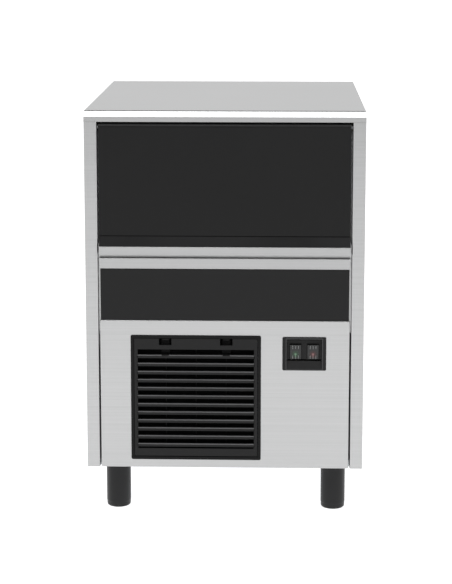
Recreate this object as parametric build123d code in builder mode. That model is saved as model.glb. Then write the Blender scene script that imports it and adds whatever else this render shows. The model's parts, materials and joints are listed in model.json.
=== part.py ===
from build123d import *

import os
from math import cos, pi, radians, sin

# Hollow ice cube machine for standing under a counter.
# Frame: millimetres, +Z up, X to the right, the front looks along -Y. The origin is on
# the floor, in the middle of everything that the machine takes up.

# Cabinet
width = 500.0
body_depth = 580.0
body_height = 652.0
leg_height = 90.0
handle_proud = 5.0
fitting_proud = 15.0
sheet = 1.0
fold_radius = 2.0
seat_gap = 0.3

# Worktop cap
nose_height = 10.7
nose_run = 6.0
rail_height = 9.1
hem_depth = 11.0

# Side panels
jamb_width = 23.0
jamb_return = 32.0
rear_flange = 18.0
lap_height = 34.0

# Door
panel_gap = 2.5
door_top_gap = 1.9
door_corner = 8.0
door_thickness = 19.2
door_wall = 3.0
crease_gap = 11.9
lip_overhang = 21.5
handle_height = 14.6
lip_thickness = 7.5
shell_depth = 16.0
hinge_boss = 3.0
door_pin_radius = 3.0
running_gap = 0.05

# Sill and the panels below the door
sill_rise = 415.5
sill_face_depth = 9.0
handle_gap = 6.7
trim_height = 19.4
strip_height = 94.5
strip_end_gap = 1.5
strip_setback = 0.6

# Air grille
grille_x = -52.0
grille_width = 235.0
grille_foot = 15.0
grille_gap = 26.9
grille_rim = 5.5
grille_proud = 2.0
grille_depth = 20.0
insert_gap = 0.8
insert_depth = 19.0
slot_width = 210.0
slot_top_inset = 26.2
slot_bottom_inset = 21.0
blade_pitch = 15.0
first_blade_inset = 39.5
blade_height = 5.0
blade_depth = 9.0
rib_pitch = 54.5
rib_thickness = 1.8
notch_width = 22.6
notch_height = 12.0
notch_offset = 55.0
latch_width = 15.0
filter_thickness = 3.0

# Switches
bezel_x = 143.4
bezel_width = 78.8
bezel_height = 61.5
bezel_gap = 28.9
switch_inset = 27.5
switch_pitch = 31.5
switch_width = 22.0
switch_height = 28.0
switch_depth = 30.0
pocket_width = 63.2
pocket_depth = 7.0
rocker_tilt = 6.0

# Legs
leg_diameter = 45.0
leg_side_inset = 51.5
leg_inset = 60.0
stud_radius = 5.0
stud_length = 30.0
bush_height = 20.0
leg_chamfer = 1.5

# Base tray
tray_sheet = 1.5
tray_wall = 26.0

# Ice bin
bin_wall = 3.0
bin_side_gap = 45.0
bin_floor = 282.0
bin_top_drop = 42.0
bin_front_depth = 48.0
bin_rear_gap = 37.0
foam_floor = 25.0
foam_rear_gap = 17.0
bin_rail_height = 12.0

# Ice maker
finger_radius = 6.0
finger_length = 38.0
finger_pitch = 34.0
finger_margin = 14.0
finger_rows = 4
plate_thickness = 4.0
plate_drop = 90.0
coil_radius = 4.5
basin_side_gap = 26.0
basin_wall = 3.0
basin_depth = 54.0
basin_length = 185.0
basin_bottom_drop = 159.0
trunnion_radius = 5.0
trunnion_height = 17.0
cheek_side_gap = 29.0
cheek_sheet = 2.0
paddle_radius = 3.0
bulb_drop = 200.0
bulb_inset = 200.0

# Cooling circuit
compressor_radius = 66.0
compressor_height = 165.0
compressor_side_inset = 138.0
compressor_inset = 145.0
condenser_width = 226.0
condenser_height = 222.0
condenser_depth = 24.0
fan_radius = 88.0
fan_blade_count = 5
fan_motor_radius = 30.0
tube_radius = 4.0
tube_hole_drop = 77.0

# Rear fittings
inlet_radius = 13.2
drain_radius = 10.0
gland_radius = 9.0
neck_length = 4.0
neck_step = 0.8
inlet_side_inset = 60.0
inlet_rise = 75.0
drain_x = 10.0
drain_rise = 45.0
gland_side_inset = 35.0
gland_rise = 40.0

# Places that follow from the sizes above
half = width / 2
total_depth = body_depth + handle_proud + fitting_proud
front_y = -total_depth / 2 + handle_proud
back_y = front_y + body_depth
end_y = back_y + fitting_proud
bottom_z = leg_height
top_z = leg_height + body_height
cap_z = top_z - nose_height - rail_height
inner_half = half - sheet
opening_half = half - jamb_width
panel_half = opening_half - panel_gap
deck_z = bottom_z + tray_sheet
rear_y = back_y - 2 * sheet
bin_half = half - bin_side_gap
cheek_x = bin_half - cheek_side_gap
basin_half = cheek_x - basin_side_gap
spigot_y = rear_y + neck_length


def depth(distance):
    """The Y of a plane that lies a distance behind the front face."""
    return front_y + distance


def drop(distance):
    """The Z of a level that lies a distance below the worktop."""
    return top_z - distance


def rise(distance):
    """The Z of a level that lies a distance above the cabinet's bottom."""
    return bottom_z + distance


def front_plane(distance):
    """A plane facing the front, a distance behind the front face."""
    return Plane.XZ.offset(-depth(distance))


def block(x, y, z, mode=Mode.ADD):
    """Add or cut a straight-sided block between two x, two y and two z values."""
    middle = ((x[0] + x[1]) / 2, (y[0] + y[1]) / 2, (z[0] + z[1]) / 2)
    with Locations(middle):
        Box(x[1] - x[0], y[1] - y[0], z[1] - z[0], mode=mode)


def rod(start, direction, length, radius, mode=Mode.ADD):
    """Add or cut a round bar that runs from a point along a direction."""
    low = (Align.CENTER, Align.CENTER, Align.MIN)
    with Locations(Plane(origin=start, z_dir=direction)):
        Cylinder(radius, length, align=low, mode=mode)


def pipe(points, radius, bend):
    """Add a bent tube: straight runs along the points, joined by arcs."""
    with BuildLine() as route:
        FilletPolyline(*points, radius=bend)
    with BuildSketch(Plane(origin=route.line @ 0, z_dir=route.line % 0)) as section:
        Circle(radius)
    sweep(section.sketch, path=route.line)


def side_profile(start, length, points):
    """Add a bar along X whose section is a list of Y, Z points."""
    with BuildSketch(Plane.YZ.offset(start)) as section:
        with BuildLine():
            Polyline(*points, close=True)
        make_face()
    extrude(section.sketch, amount=length)


# Worktop: a folded cap with a sloping nose and a short rail along its front
with BuildPart() as worktop:
    side_profile(
        -half,
        width,
        [
            (back_y, cap_z),
            (front_y, cap_z),
            (front_y, top_z - nose_height),
            (depth(nose_run), top_z),
            (back_y, top_z),
        ],
    )
    upper_edges = worktop.faces().sort_by(Axis.Z)[-1].edges()
    fillet(upper_edges, fold_radius)
    under_face = worktop.faces().sort_by(Axis.Z)[0]
    offset(amount=-sheet, openings=under_face)
    block(
        x=(-inner_half, inner_half),
        y=(front_y, depth(hem_depth)),
        z=(cap_z, cap_z + sheet),
    )

worktop.part.label = "worktop"

# Slab of foam under the worktop
bin_top = drop(bin_top_drop)
lid_foam_bottom = bin_top + 4.0
with BuildPart() as lid_insulation:
    block(
        x=(-inner_half + 2 * sheet, inner_half - 2 * sheet),
        y=(depth(jamb_return + 8.0), rear_y - foam_rear_gap + 4.0),
        z=(lid_foam_bottom, top_z - sheet),
    )

lid_insulation.part.label = "lid_insulation"

# Hinge line of the door: on the axis of the rounded top corner
door_top = cap_z - door_top_gap
hinge_y = depth(1.0 + door_corner)
hinge_z = door_top - door_corner
bush_radius = 5.0
bush_flange = 1.2


def side_panel(side):
    """One side of the cabinet, folded round the front into a jamb."""
    line = sheet / 2
    plan = [
        (side * (opening_half + line), depth(jamb_return)),
        (side * (opening_half + line), depth(line)),
        (side * (half - line), depth(line)),
        (side * (half - line), back_y - line),
        (side * (half - rear_flange), back_y - line),
    ]
    panel_height = cap_z - seat_gap - bottom_z
    lap = sorted((side * inner_half, side * (inner_half - sheet)))
    with BuildPart() as panel:
        with BuildSketch(Plane.XY.offset(bottom_z)):
            with BuildLine():
                FilletPolyline(*plan, radius=fold_radius - line)
            trace(line_width=sheet)
        extrude(amount=panel_height)
        block(x=lap, y=(depth(40.0), back_y - 40.0), z=(cap_z - lap_height, cap_z + 12.0))
        rod(
            (side * (opening_half - 1.0), hinge_y, hinge_z),
            (side, 0, 0),
            sheet + 2.0,
            bush_radius,
            mode=Mode.SUBTRACT,
        )
    return panel


side_panel_left = side_panel(-1)
side_panel_left.part.label = "side_panel_left"
side_panel_right = side_panel(1)
side_panel_right.part.label = "side_panel_right"

# Rear panel: it lies inside the side panels' rear flanges and carries the fittings
inlet_x = half - inlet_side_inset
inlet_z = rise(inlet_rise)
drain_z = rise(drain_rise)
gland_x = half - gland_side_inset
gland_z = rise(gland_rise)
fitting_gap = 0.4
vent_slot = 62.0
vent_height = 5.0
vent_pitch = 13.0
vent_bridge = 16.0
vent_rows = 9
vent_columns = 4
vent_z = rise(165.0)
screw_rows = 4
screw_inset = 45.0
screw_head = 4.0
screw_head_height = 1.8
screw_rounding = 1.2
screw_x = half - rear_flange / 2 - sheet
screw_span = body_height - 3 * screw_inset
screw_middle_z = bottom_z + screw_inset + screw_span / 2
rear_half = inner_half - fold_radius
with BuildPart() as rear_panel:
    block(
        x=(-rear_half, rear_half),
        y=(rear_y, rear_y + sheet),
        z=(rise(2 * sheet), cap_z - 2 * sheet),
    )
    with BuildSketch(Plane.XZ.offset(-rear_y - sheet)):
        with Locations((0, vent_z)):
            with GridLocations(vent_slot + vent_bridge, vent_pitch, vent_columns, vent_rows):
                SlotOverall(vent_slot, vent_height)
    extrude(amount=2 * sheet, both=True, mode=Mode.SUBTRACT)
    for x_hole, z_hole, radius in (
        (inlet_x, inlet_z, inlet_radius),
        (drain_x, drain_z, drain_radius),
        (gland_x, gland_z, gland_radius),
    ):
        rod(
            (x_hole, rear_y - sheet, z_hole),
            (0, 1, 0),
            3 * sheet,
            radius + fitting_gap,
            mode=Mode.SUBTRACT,
        )

rear_panel.part.label = "rear_panel"

# Screws that hold the rear panel to the side panels' flanges
with BuildPart() as panel_screws:
    with Locations(Plane(origin=(0, back_y, screw_middle_z), x_dir=(1, 0, 0), z_dir=(0, 1, 0))):
        with GridLocations(2 * screw_x, screw_span / (screw_rows - 1), 2, screw_rows):
            Cylinder(screw_head, screw_head_height, align=(Align.CENTER, Align.CENTER, Align.MIN))
    head_edges = panel_screws.edges().group_by(Axis.Y)[-1]
    fillet(head_edges, screw_rounding)

panel_screws.part.label = "panel_screws"

# Base tray: a folded pan with a tongue between the jambs and four threaded leg bushes
tray_half = inner_half - 0.2
tray_front = depth(jamb_return + 1.0)
tray_back = rear_y - 0.2
tongue_half = opening_half - 0.4
tongue_front = depth(13.5)
leg_x = half - leg_side_inset
leg_front_y = depth(leg_inset)
leg_rear_y = back_y - leg_inset
leg_places = {
    "leg_front_left": (-leg_x, leg_front_y),
    "leg_front_right": (leg_x, leg_front_y),
    "leg_rear_left": (-leg_x, leg_rear_y),
    "leg_rear_right": (leg_x, leg_rear_y),
}
bush_outer = 8.0
bush_inner = stud_radius + running_gap
bush_collar = 2.0
tray_slot = 44.0
tray_slot_width = 6.0
with BuildPart() as base_tray:
    block(x=(-tray_half, tray_half), y=(tray_front, tray_back), z=(bottom_z, deck_z))
    block(x=(-tongue_half, tongue_half), y=(tongue_front, tray_front), z=(bottom_z, deck_z))
    for x0, x1 in ((-tray_half, -tray_half + tray_sheet), (tray_half - tray_sheet, tray_half)):
        block(x=(x0, x1), y=(tray_front, tray_back), z=(bottom_z, bottom_z + tray_wall))
    block(
        x=(-tray_half, tray_half),
        y=(tray_back - tray_sheet, tray_back),
        z=(bottom_z, bottom_z + tray_wall - 8.0),
    )
    block(
        x=(-tongue_half, tongue_half),
        y=(tongue_front, tongue_front + tray_sheet),
        z=(bottom_z, bottom_z + tray_wall - 14.0),
    )
    with BuildSketch(Plane.XY.offset(bottom_z)):
        with GridLocations(58.0, 22.0, 4, 5):
            SlotOverall(tray_slot, tray_slot_width)
    extrude(amount=tray_sheet, mode=Mode.SUBTRACT)
    for place in leg_places.values():
        rod((*place, bottom_z), (0, 0, 1), bush_height, bush_outer)
        rod((*place, bottom_z), (0, 0, 1), tray_sheet + bush_collar, bush_outer + bush_collar)
    for place in leg_places.values():
        rod((*place, bottom_z - 1.0), (0, 0, 1), bush_height + 2.0, bush_inner, mode=Mode.SUBTRACT)

base_tray.part.label = "base_tray"


def leg(place):
    """A round plastic foot on its steel stud."""
    top = bottom_z - seat_gap
    with BuildPart() as foot:
        rod((*place, 0.0), (0, 0, 1), top, leg_diameter / 2)
        chamfer(foot.edges().group_by(Axis.Z)[0], leg_chamfer)
        rod((*place, top), (0, 0, 1), stud_length, stud_radius)
    return foot


legs = {name: leg(place) for name, place in leg_places.items()}

# Sill rail: the crossbar under the door that carries the bin's front and the panels
sill_z = rise(sill_rise)
handle_bottom = sill_z - lip_overhang
trim_top = handle_bottom - handle_gap
trim_bottom = trim_top - trim_height
strip_bottom = trim_bottom - strip_height
rail_face = depth(sill_face_depth)
rail_top = sill_z - bin_wall
rail_lap = 22.0
rail_lip = 14.0
rail_bottom = strip_bottom - rail_lap
rail_half = opening_half - seat_gap
bin_front = depth(bin_front_depth)
with BuildPart() as sill_rail:
    block(x=(-rail_half, rail_half), y=(rail_face, rail_face + sheet), z=(rail_bottom, rail_top))
    block(
        x=(-rail_half, rail_half),
        y=(rail_face, bin_front - bin_wall - 1.0),
        z=(rail_top - sheet, rail_top),
    )
    block(
        x=(-rail_half, rail_half),
        y=(rail_face, rail_face + rail_lip),
        z=(rail_bottom, rail_bottom + sheet),
    )
    for x0, x1 in ((-rail_half, -rail_half + sheet), (rail_half - sheet, rail_half)):
        block(x=(x0, x1), y=(rail_face, depth(jamb_return)), z=(rail_bottom, rail_top))

sill_rail.part.label = "sill_rail"


def tray_outline(x_half, z, face, rim_depth):
    """The outer form of a shallow tray that faces the front."""
    block(x=(-x_half, x_half), y=(face, face + rim_depth), z=z)


# Trim band under the door
with BuildPart() as trim_band:
    tray_outline(panel_half, (trim_bottom, trim_top), front_y, sill_face_depth)
    fillet(trim_band.edges().filter_by(Axis.X).group_by(Axis.Y)[0], 1.2)
    offset(amount=-sheet, openings=trim_band.faces().sort_by(Axis.Y)[-1])

trim_band.part.label = "trim_band"

# Black fascia strip, a shallow moulded tray
strip_half = panel_half - strip_end_gap
with BuildPart() as fascia_strip:
    tray_outline(
        strip_half,
        (strip_bottom + 0.3, trim_bottom - 0.3),
        depth(strip_setback),
        sill_face_depth - strip_setback,
    )
    fillet(fascia_strip.edges().group_by(Axis.Y)[0], 0.8)
    offset(amount=-2.0, openings=fascia_strip.faces().sort_by(Axis.Y)[-1])

fascia_strip.part.label = "fascia_strip"

# Lower front panel: a sheet tray with openings for the grille and the switches
grille_top = strip_bottom - grille_gap
grille_bottom = rise(grille_foot)
grille_height = grille_top - grille_bottom
grille_z = (grille_top + grille_bottom) / 2
bezel_top = strip_bottom - bezel_gap
bezel_z = bezel_top - bezel_height / 2
frame_wall = 2.5
frame_body_width = grille_width - 2 * grille_rim + 2 * frame_wall
frame_body_height = grille_height - 2 * grille_rim + 2 * frame_wall
bezel_lip = 3.0
bezel_body_width = bezel_width - 2 * bezel_lip
bezel_body_height = bezel_height - 2 * bezel_lip
with BuildPart() as front_panel:
    tray_outline(panel_half, (bottom_z, strip_bottom), front_y, sill_face_depth)
    fillet(front_panel.edges().filter_by(Axis.Y), 2.0)
    fillet(front_panel.edges().group_by(Axis.Y)[0], 1.2)
    offset(amount=-sheet, openings=front_panel.faces().sort_by(Axis.Y)[-1])
    with BuildSketch(front_plane(0)):
        with Locations((grille_x, grille_z)):
            Rectangle(frame_body_width + 2 * seat_gap, frame_body_height + 2 * seat_gap)
        with Locations((bezel_x, bezel_z)):
            Rectangle(bezel_body_width + 2 * seat_gap, bezel_body_height + 2 * seat_gap)
    extrude(amount=-2 * sheet, mode=Mode.SUBTRACT)

front_panel.part.label = "front_panel"

# Grille frame: a flange on the panel and a wall that passes through it
frame_inner_width = grille_width - 2 * grille_rim
frame_inner_height = grille_height - 2 * grille_rim
insert_half = frame_inner_width / 2 - insert_gap
insert_bottom = grille_bottom + grille_rim + insert_gap
insert_top = grille_top - grille_rim - insert_gap
grille_pivot_radius = 1.6
grille_pivot_inset = 2.6
insert_face = depth(-grille_proud + 0.5)
grille_pivot_y = insert_face + grille_pivot_inset
grille_pivot_z = insert_bottom + grille_pivot_inset
with BuildPart() as grille_frame:
    with BuildSketch(front_plane(-grille_proud)):
        with Locations((grille_x, grille_z)):
            RectangleRounded(grille_width, grille_height, 3.0)
    extrude(amount=-grille_proud)
    fillet(grille_frame.edges().group_by(Axis.Y)[0], 1.0)
    with BuildSketch(front_plane(0)):
        with Locations((grille_x, grille_z)):
            Rectangle(frame_body_width, frame_body_height)
    extrude(amount=-grille_depth)
    with BuildSketch(front_plane(-grille_proud)):
        with Locations((grille_x, grille_z)):
            Rectangle(frame_inner_width, frame_inner_height)
    extrude(amount=-grille_depth - grille_proud, mode=Mode.SUBTRACT)
    rod(
        (grille_x - frame_body_width / 2 - 1.0, grille_pivot_y, grille_pivot_z),
        (1, 0, 0),
        frame_body_width + 2.0,
        grille_pivot_radius + running_gap,
        mode=Mode.SUBTRACT,
    )

grille_frame.part.label = "grille_frame"

# Louvred insert: blades, thin ribs behind them, finger notches and latch tongues
insert_plate = 3.0
insert_rim = 2.0
slot_top = grille_top - slot_top_inset
slot_bottom = grille_bottom + slot_bottom_inset
first_blade_z = grille_top - first_blade_inset
blade_span = first_blade_z - slot_bottom - blade_height / 2
blade_count = 1 + int(blade_span // blade_pitch)
blade_back = insert_face + blade_depth
insert_back = insert_face + insert_depth
filter_front = insert_back - filter_thickness
with BuildPart() as grille_insert:
    block(
        x=(grille_x - insert_half, grille_x + insert_half),
        y=(insert_face, insert_back),
        z=(insert_bottom, insert_top),
    )
    fillet(grille_insert.edges().group_by(Axis.Y)[0], 1.0)
    lowest_edge = grille_insert.edges().filter_by(Axis.X).group_by(Axis.Z)[0].sort_by(Axis.Y)[-1]
    chamfer(lowest_edge, 3.0)
    block(
        x=(grille_x - insert_half + insert_rim, grille_x + insert_half - insert_rim),
        y=(insert_face + insert_plate, insert_back),
        z=(insert_bottom + insert_rim, insert_top - insert_rim),
        mode=Mode.SUBTRACT,
    )
    block(
        x=(grille_x - slot_width / 2, grille_x + slot_width / 2),
        y=(insert_face, insert_face + insert_plate),
        z=(slot_bottom, slot_top),
        mode=Mode.SUBTRACT,
    )
    for row in range(blade_count):
        blade_z = first_blade_z - row * blade_pitch
        with BuildSketch(Plane.YZ.offset(grille_x - slot_width / 2 - 1.0)):
            with Locations((insert_face + blade_depth / 2, blade_z)):
                RectangleRounded(blade_depth, blade_height, 0.8)
        extrude(amount=slot_width + 2.0)
    for x_rib in (-rib_pitch, 0, rib_pitch):
        block(
            x=(grille_x + x_rib - rib_thickness / 2, grille_x + x_rib + rib_thickness / 2),
            y=(blade_back - 0.5, filter_front),
            z=(insert_bottom + insert_rim / 2, insert_top - insert_rim / 2),
        )
    for x_notch in (-notch_offset, notch_offset):
        notch = (grille_x + x_notch - notch_width / 2, grille_x + x_notch + notch_width / 2)
        latch = (grille_x + x_notch - latch_width / 2, grille_x + x_notch + latch_width / 2)
        block(
            x=notch,
            y=(insert_face, blade_back),
            z=(insert_top - notch_height, insert_top),
            mode=Mode.SUBTRACT,
        )
        block(
            x=latch,
            y=(blade_back - 1.0, blade_back + 1.0),
            z=(first_blade_z, insert_top),
        )
    for side in (-1, 1):
        rod(
            (grille_x + side * (insert_half - 1.0), grille_pivot_y, grille_pivot_z),
            (side, 0, 0),
            insert_gap + frame_wall + 0.5,
            grille_pivot_radius,
        )

grille_insert.part.label = "grille_insert"

# Filter pad that lies in the back of the insert
filter_half = insert_half - insert_rim - seat_gap
with BuildPart() as air_filter:
    block(
        x=(grille_x - filter_half, grille_x + filter_half),
        y=(filter_front, insert_back),
        z=(insert_bottom + insert_rim + 1.5, insert_top - insert_rim - seat_gap),
    )

air_filter.part.label = "air_filter"

# Switch bezel with a scooped pocket
bezel_floor = depth(-grille_proud) + pocket_depth
switch_z = bezel_top - switch_inset
switch_places = {
    "green": bezel_x - switch_pitch / 2,
    "red": bezel_x + switch_pitch / 2,
}
pocket_margin = 2.5
pocket_top = bezel_top - pocket_margin
pocket_bottom = bezel_top - bezel_height + pocket_margin
with BuildPart() as switch_bezel:
    with BuildSketch(front_plane(-grille_proud)):
        with Locations((bezel_x, bezel_z)):
            RectangleRounded(bezel_width, bezel_height, 2.5)
    extrude(amount=-grille_proud)
    fillet(switch_bezel.edges().group_by(Axis.Y)[0], 0.8)
    with BuildSketch(front_plane(0)):
        with Locations((bezel_x, bezel_z)):
            Rectangle(bezel_body_width, bezel_body_height)
    extrude(amount=-11.0)
    with BuildSketch(Plane.YZ.offset(bezel_x - pocket_width / 2)):
        with BuildLine():
            Polyline(
                (depth(-grille_proud), pocket_top),
                (bezel_floor, pocket_top - 4.5),
                (bezel_floor, switch_z - switch_height / 2 - 4.0),
                (depth(-grille_proud), pocket_bottom),
                close=True,
            )
        make_face()
    extrude(amount=pocket_width, mode=Mode.SUBTRACT)
    with BuildSketch(front_plane(0)):
        with Locations((bezel_x, switch_z)):
            with GridLocations(switch_pitch, 1.0, 2, 1):
                Rectangle(switch_width - 1.0, switch_height - 1.0)
    extrude(amount=-12.0, mode=Mode.SUBTRACT)

switch_bezel.part.label = "switch_bezel"

# Switch bodies: a frame on the bezel's floor and a housing behind it
switch_face = bezel_floor - 2.5
rocker_pivot_y = switch_face + 2.6
rocker_pin = 1.5
cavity_width = switch_width - 2.4
cavity_height = switch_height - 2.2
cavity_depth = 13.0
rocker_rise = 4.6
rocker_dish = 3.2
rocker_end_gap = 0.75
finger_rib_height = 0.8
finger_rib_length = 6.0
finger_rib_half = 0.6
with BuildPart() as switch_bodies:
    with BuildSketch(front_plane(0).offset(-(switch_face - front_y))):
        with Locations((bezel_x, switch_z)):
            with GridLocations(switch_pitch, 1.0, 2, 1):
                RectangleRounded(switch_width, switch_height, 1.0)
    extrude(amount=-(bezel_floor - switch_face))
    with BuildSketch(front_plane(0).offset(-(bezel_floor - front_y))):
        with Locations((bezel_x, switch_z)):
            with GridLocations(switch_pitch, 1.0, 2, 1):
                Rectangle(switch_width - 1.4, switch_height - 1.4)
    extrude(amount=-switch_depth)
    with BuildSketch(front_plane(0).offset(-(switch_face - front_y))):
        with Locations((bezel_x, switch_z)):
            with GridLocations(switch_pitch, 1.0, 2, 1):
                Rectangle(cavity_width, cavity_height)
    extrude(amount=-cavity_depth, mode=Mode.SUBTRACT)
    for x_switch in switch_places.values():
        rod(
            (x_switch - cavity_width / 2 - 0.9, rocker_pivot_y, switch_z),
            (1, 0, 0),
            cavity_width + 1.8,
            rocker_pin + running_gap,
            mode=Mode.SUBTRACT,
        )

switch_bodies.part.label = "switch_bodies"


def rocker(x_switch):
    """A rocker with a dished face, finger ribs at both ends and two pivot pins."""
    rocker_half = cavity_width / 2 - seat_gap
    end = cavity_height / 2 - rocker_end_gap
    rib_middle = end - finger_rib_length / 2 - 0.4
    tilt = radians(rocker_tilt)
    tilted = Plane(
        origin=(x_switch - rocker_half, rocker_pivot_y, switch_z),
        x_dir=(0, cos(tilt), sin(tilt)),
        z_dir=(1, 0, 0),
    )
    with BuildPart() as key:
        with BuildSketch(tilted):
            with BuildLine():
                Polyline(
                    (-rocker_rise, end),
                    (-rocker_dish, 0),
                    (-rocker_rise, -end),
                    (0.5, -end),
                    (6.0, -4.0),
                    (6.0, 4.0),
                    (0.5, end),
                    close=True,
                )
            make_face()
        extrude(amount=2 * rocker_half)
        for x_rib in (-rocker_half / 2, 0, rocker_half / 2):
            with BuildSketch(tilted.offset(rocker_half + x_rib)):
                with Locations((-rocker_rise, rib_middle), (-rocker_rise, -rib_middle)):
                    Rectangle(2 * finger_rib_height, finger_rib_length)
            extrude(amount=finger_rib_half, both=True)
        for side in (-1, 1):
            rod(
                (x_switch + side * (rocker_half - 1.0), rocker_pivot_y, switch_z),
                (side, 0, 0),
                1.0 + seat_gap + 0.6,
                rocker_pin,
            )
    return key


green_rocker = rocker(switch_places["green"])
green_rocker.part.label = "green_rocker"
red_rocker = rocker(switch_places["red"])
red_rocker.part.label = "red_rocker"

# Door: a hollow moulded face whose lower lip bends out to the pull strip
door_face = depth(1.0)
door_back = depth(1.0 + door_thickness)
shell_back = depth(shell_depth)
lip_wall = 2.0
lip_end = 22.0
liner_gap = 1.5
liner_sheet = 1.5
crease_z = sill_z + crease_gap
handle_top = handle_bottom + handle_height
lip_face = depth(-handle_proud) + sheet
lip_back = depth(lip_thickness)
liner_low = sill_z + liner_gap
pocket_low = liner_low + 4.0
door_half = panel_half
with BuildPart() as door_panel:
    with BuildSketch(Plane.YZ.offset(-door_half)):
        with BuildLine():
            Line((shell_back, door_top), (hinge_y, door_top))
            RadiusArc((hinge_y, door_top), (door_face, hinge_z), -door_corner)
            Polyline(
                (door_face, hinge_z),
                (door_face, crease_z),
                (lip_face, handle_top),
                (lip_face, handle_bottom + sheet),
                (lip_back, handle_bottom + sheet),
                (lip_back, liner_low),
                (shell_back, liner_low),
                (shell_back, door_top),
            )
        make_face()
    extrude(amount=2 * door_half)
    block(
        x=(-door_half + door_wall, door_half - door_wall),
        y=(door_face + door_wall, shell_back),
        z=(pocket_low, door_top - door_wall - 2.0),
        mode=Mode.SUBTRACT,
    )
    block(
        x=(-door_half + lip_end, door_half - lip_end),
        y=(lip_face + lip_wall, lip_back - lip_wall),
        z=(handle_bottom, handle_top),
        mode=Mode.SUBTRACT,
    )
    for side in (-1, 1):
        rod(
            (side * (door_half - door_wall - 6.0), hinge_y, hinge_z),
            (side, 0, 0),
            6.5,
            door_pin_radius + hinge_boss,
        )
        rod(
            (side * (door_half - 9.5), hinge_y, hinge_z),
            (side, 0, 0),
            10.5,
            door_pin_radius + 0.02,
            mode=Mode.SUBTRACT,
        )

door_panel.part.label = "door_panel"

# Pull strip: folded sheet round the door's lower lip
with BuildPart() as door_handle:
    side_profile(
        -door_half,
        2 * door_half,
        [
            (lip_face - sheet, handle_bottom),
            (lip_face + 1.8, handle_bottom),
            (lip_face + 1.8, handle_bottom + sheet),
            (lip_face, handle_bottom + sheet),
            (lip_face, handle_top),
            (lip_face - sheet, handle_top),
        ],
    )
    fillet(door_handle.edges().filter_by(Axis.X).sort_by(Axis.Y)[0:2], 0.9)

door_handle.part.label = "door_handle"

# Inner liner of the door, a raised pan that closes the door's back
liner_wall = 2.0
liner_half = bin_half + 8.0
liner_top = bin_top + 3.0
with BuildPart() as door_liner:
    block(
        x=(-door_half + 1.0, door_half - 1.0),
        y=(shell_back, shell_back + liner_sheet),
        z=(liner_low, liner_top + 4.0),
    )
    block(
        x=(-liner_half, liner_half),
        y=(shell_back + liner_sheet, door_back),
        z=(liner_low, liner_top),
    )
    block(
        x=(-liner_half + liner_wall, liner_half - liner_wall),
        y=(shell_back, door_back - liner_sheet),
        z=(liner_low + liner_wall, liner_top - liner_wall),
        mode=Mode.SUBTRACT,
    )

door_liner.part.label = "door_liner"

# Hinge pins, pushed into the door's ends
pin_depth = 9.0
pin_length = 17.0
with BuildPart() as door_pins:
    for side in (-1, 1):
        rod(
            (side * (door_half - pin_depth), hinge_y, hinge_z),
            (side, 0, 0),
            pin_length,
            door_pin_radius,
        )

door_pins.part.label = "door_pins"

# Bushes in the jambs that the pins turn in
with BuildPart() as door_bushes:
    for side in (-1, 1):
        rod(
            (side * (opening_half - bush_flange), hinge_y, hinge_z),
            (side, 0, 0),
            bush_flange,
            bush_radius + 1.6,
        )
        rod(
            (side * (opening_half - 0.2), hinge_y, hinge_z),
            (side, 0, 0),
            6.0,
            bush_radius - 0.02,
        )
        rod(
            (side * (opening_half - 2.0), hinge_y, hinge_z),
            (side, 0, 0),
            9.0,
            door_pin_radius + running_gap,
            mode=Mode.SUBTRACT,
        )

door_bushes.part.label = "door_bushes"

# Bin liner: an open box with a frame round its mouth and a sill shelf
bin_floor_z = bottom_z + bin_floor
bin_back = rear_y - bin_rear_gap
rim_front = door_back + seat_gap
rim_back = rim_front + bin_wall
rim_half = opening_half - seat_gap
rim_top = bin_top + 5.0
outer_half = bin_half + bin_wall
bin_drain_x = drain_x
bin_drain_y = bin_back - 60.0
bin_drain_hole = 11.0
tube_hole_x = basin_half
tube_hole_z = drop(tube_hole_drop)
tube_hole_gap = 0.8
suction_x = 40.0 - basin_half
tube_holes = (-tube_hole_x, suction_x, tube_hole_x)
with BuildPart() as bin_liner:
    block(
        x=(-outer_half, outer_half),
        y=(bin_front - bin_wall, bin_back + bin_wall),
        z=(bin_floor_z - bin_wall, bin_top),
    )
    block(x=(-outer_half, outer_half), y=(rim_front, bin_front), z=(rail_top, bin_top))
    block(x=(-rim_half, rim_half), y=(rim_front, rim_back), z=(rail_top, rim_top))
    block(x=(-rim_half + sheet, rim_half - sheet), y=(rail_face, rim_back), z=(rail_top, sill_z))
    block(
        x=(-bin_half, bin_half),
        y=(bin_front, bin_back),
        z=(bin_floor_z, bin_top + 10.0),
        mode=Mode.SUBTRACT,
    )
    block(x=(-bin_half, bin_half), y=(rim_front, bin_front), z=(sill_z, bin_top), mode=Mode.SUBTRACT)
    rod((bin_drain_x, bin_drain_y, bin_floor_z - 5.0), (0, 0, 1), 10.0, bin_drain_hole, mode=Mode.SUBTRACT)
    for x_hole in tube_holes:
        rod(
            (x_hole, bin_back - 1.0, tube_hole_z),
            (0, 1, 0),
            bin_wall + 2.0,
            tube_radius + tube_hole_gap,
            mode=Mode.SUBTRACT,
        )

bin_liner.part.label = "bin_liner"

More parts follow.
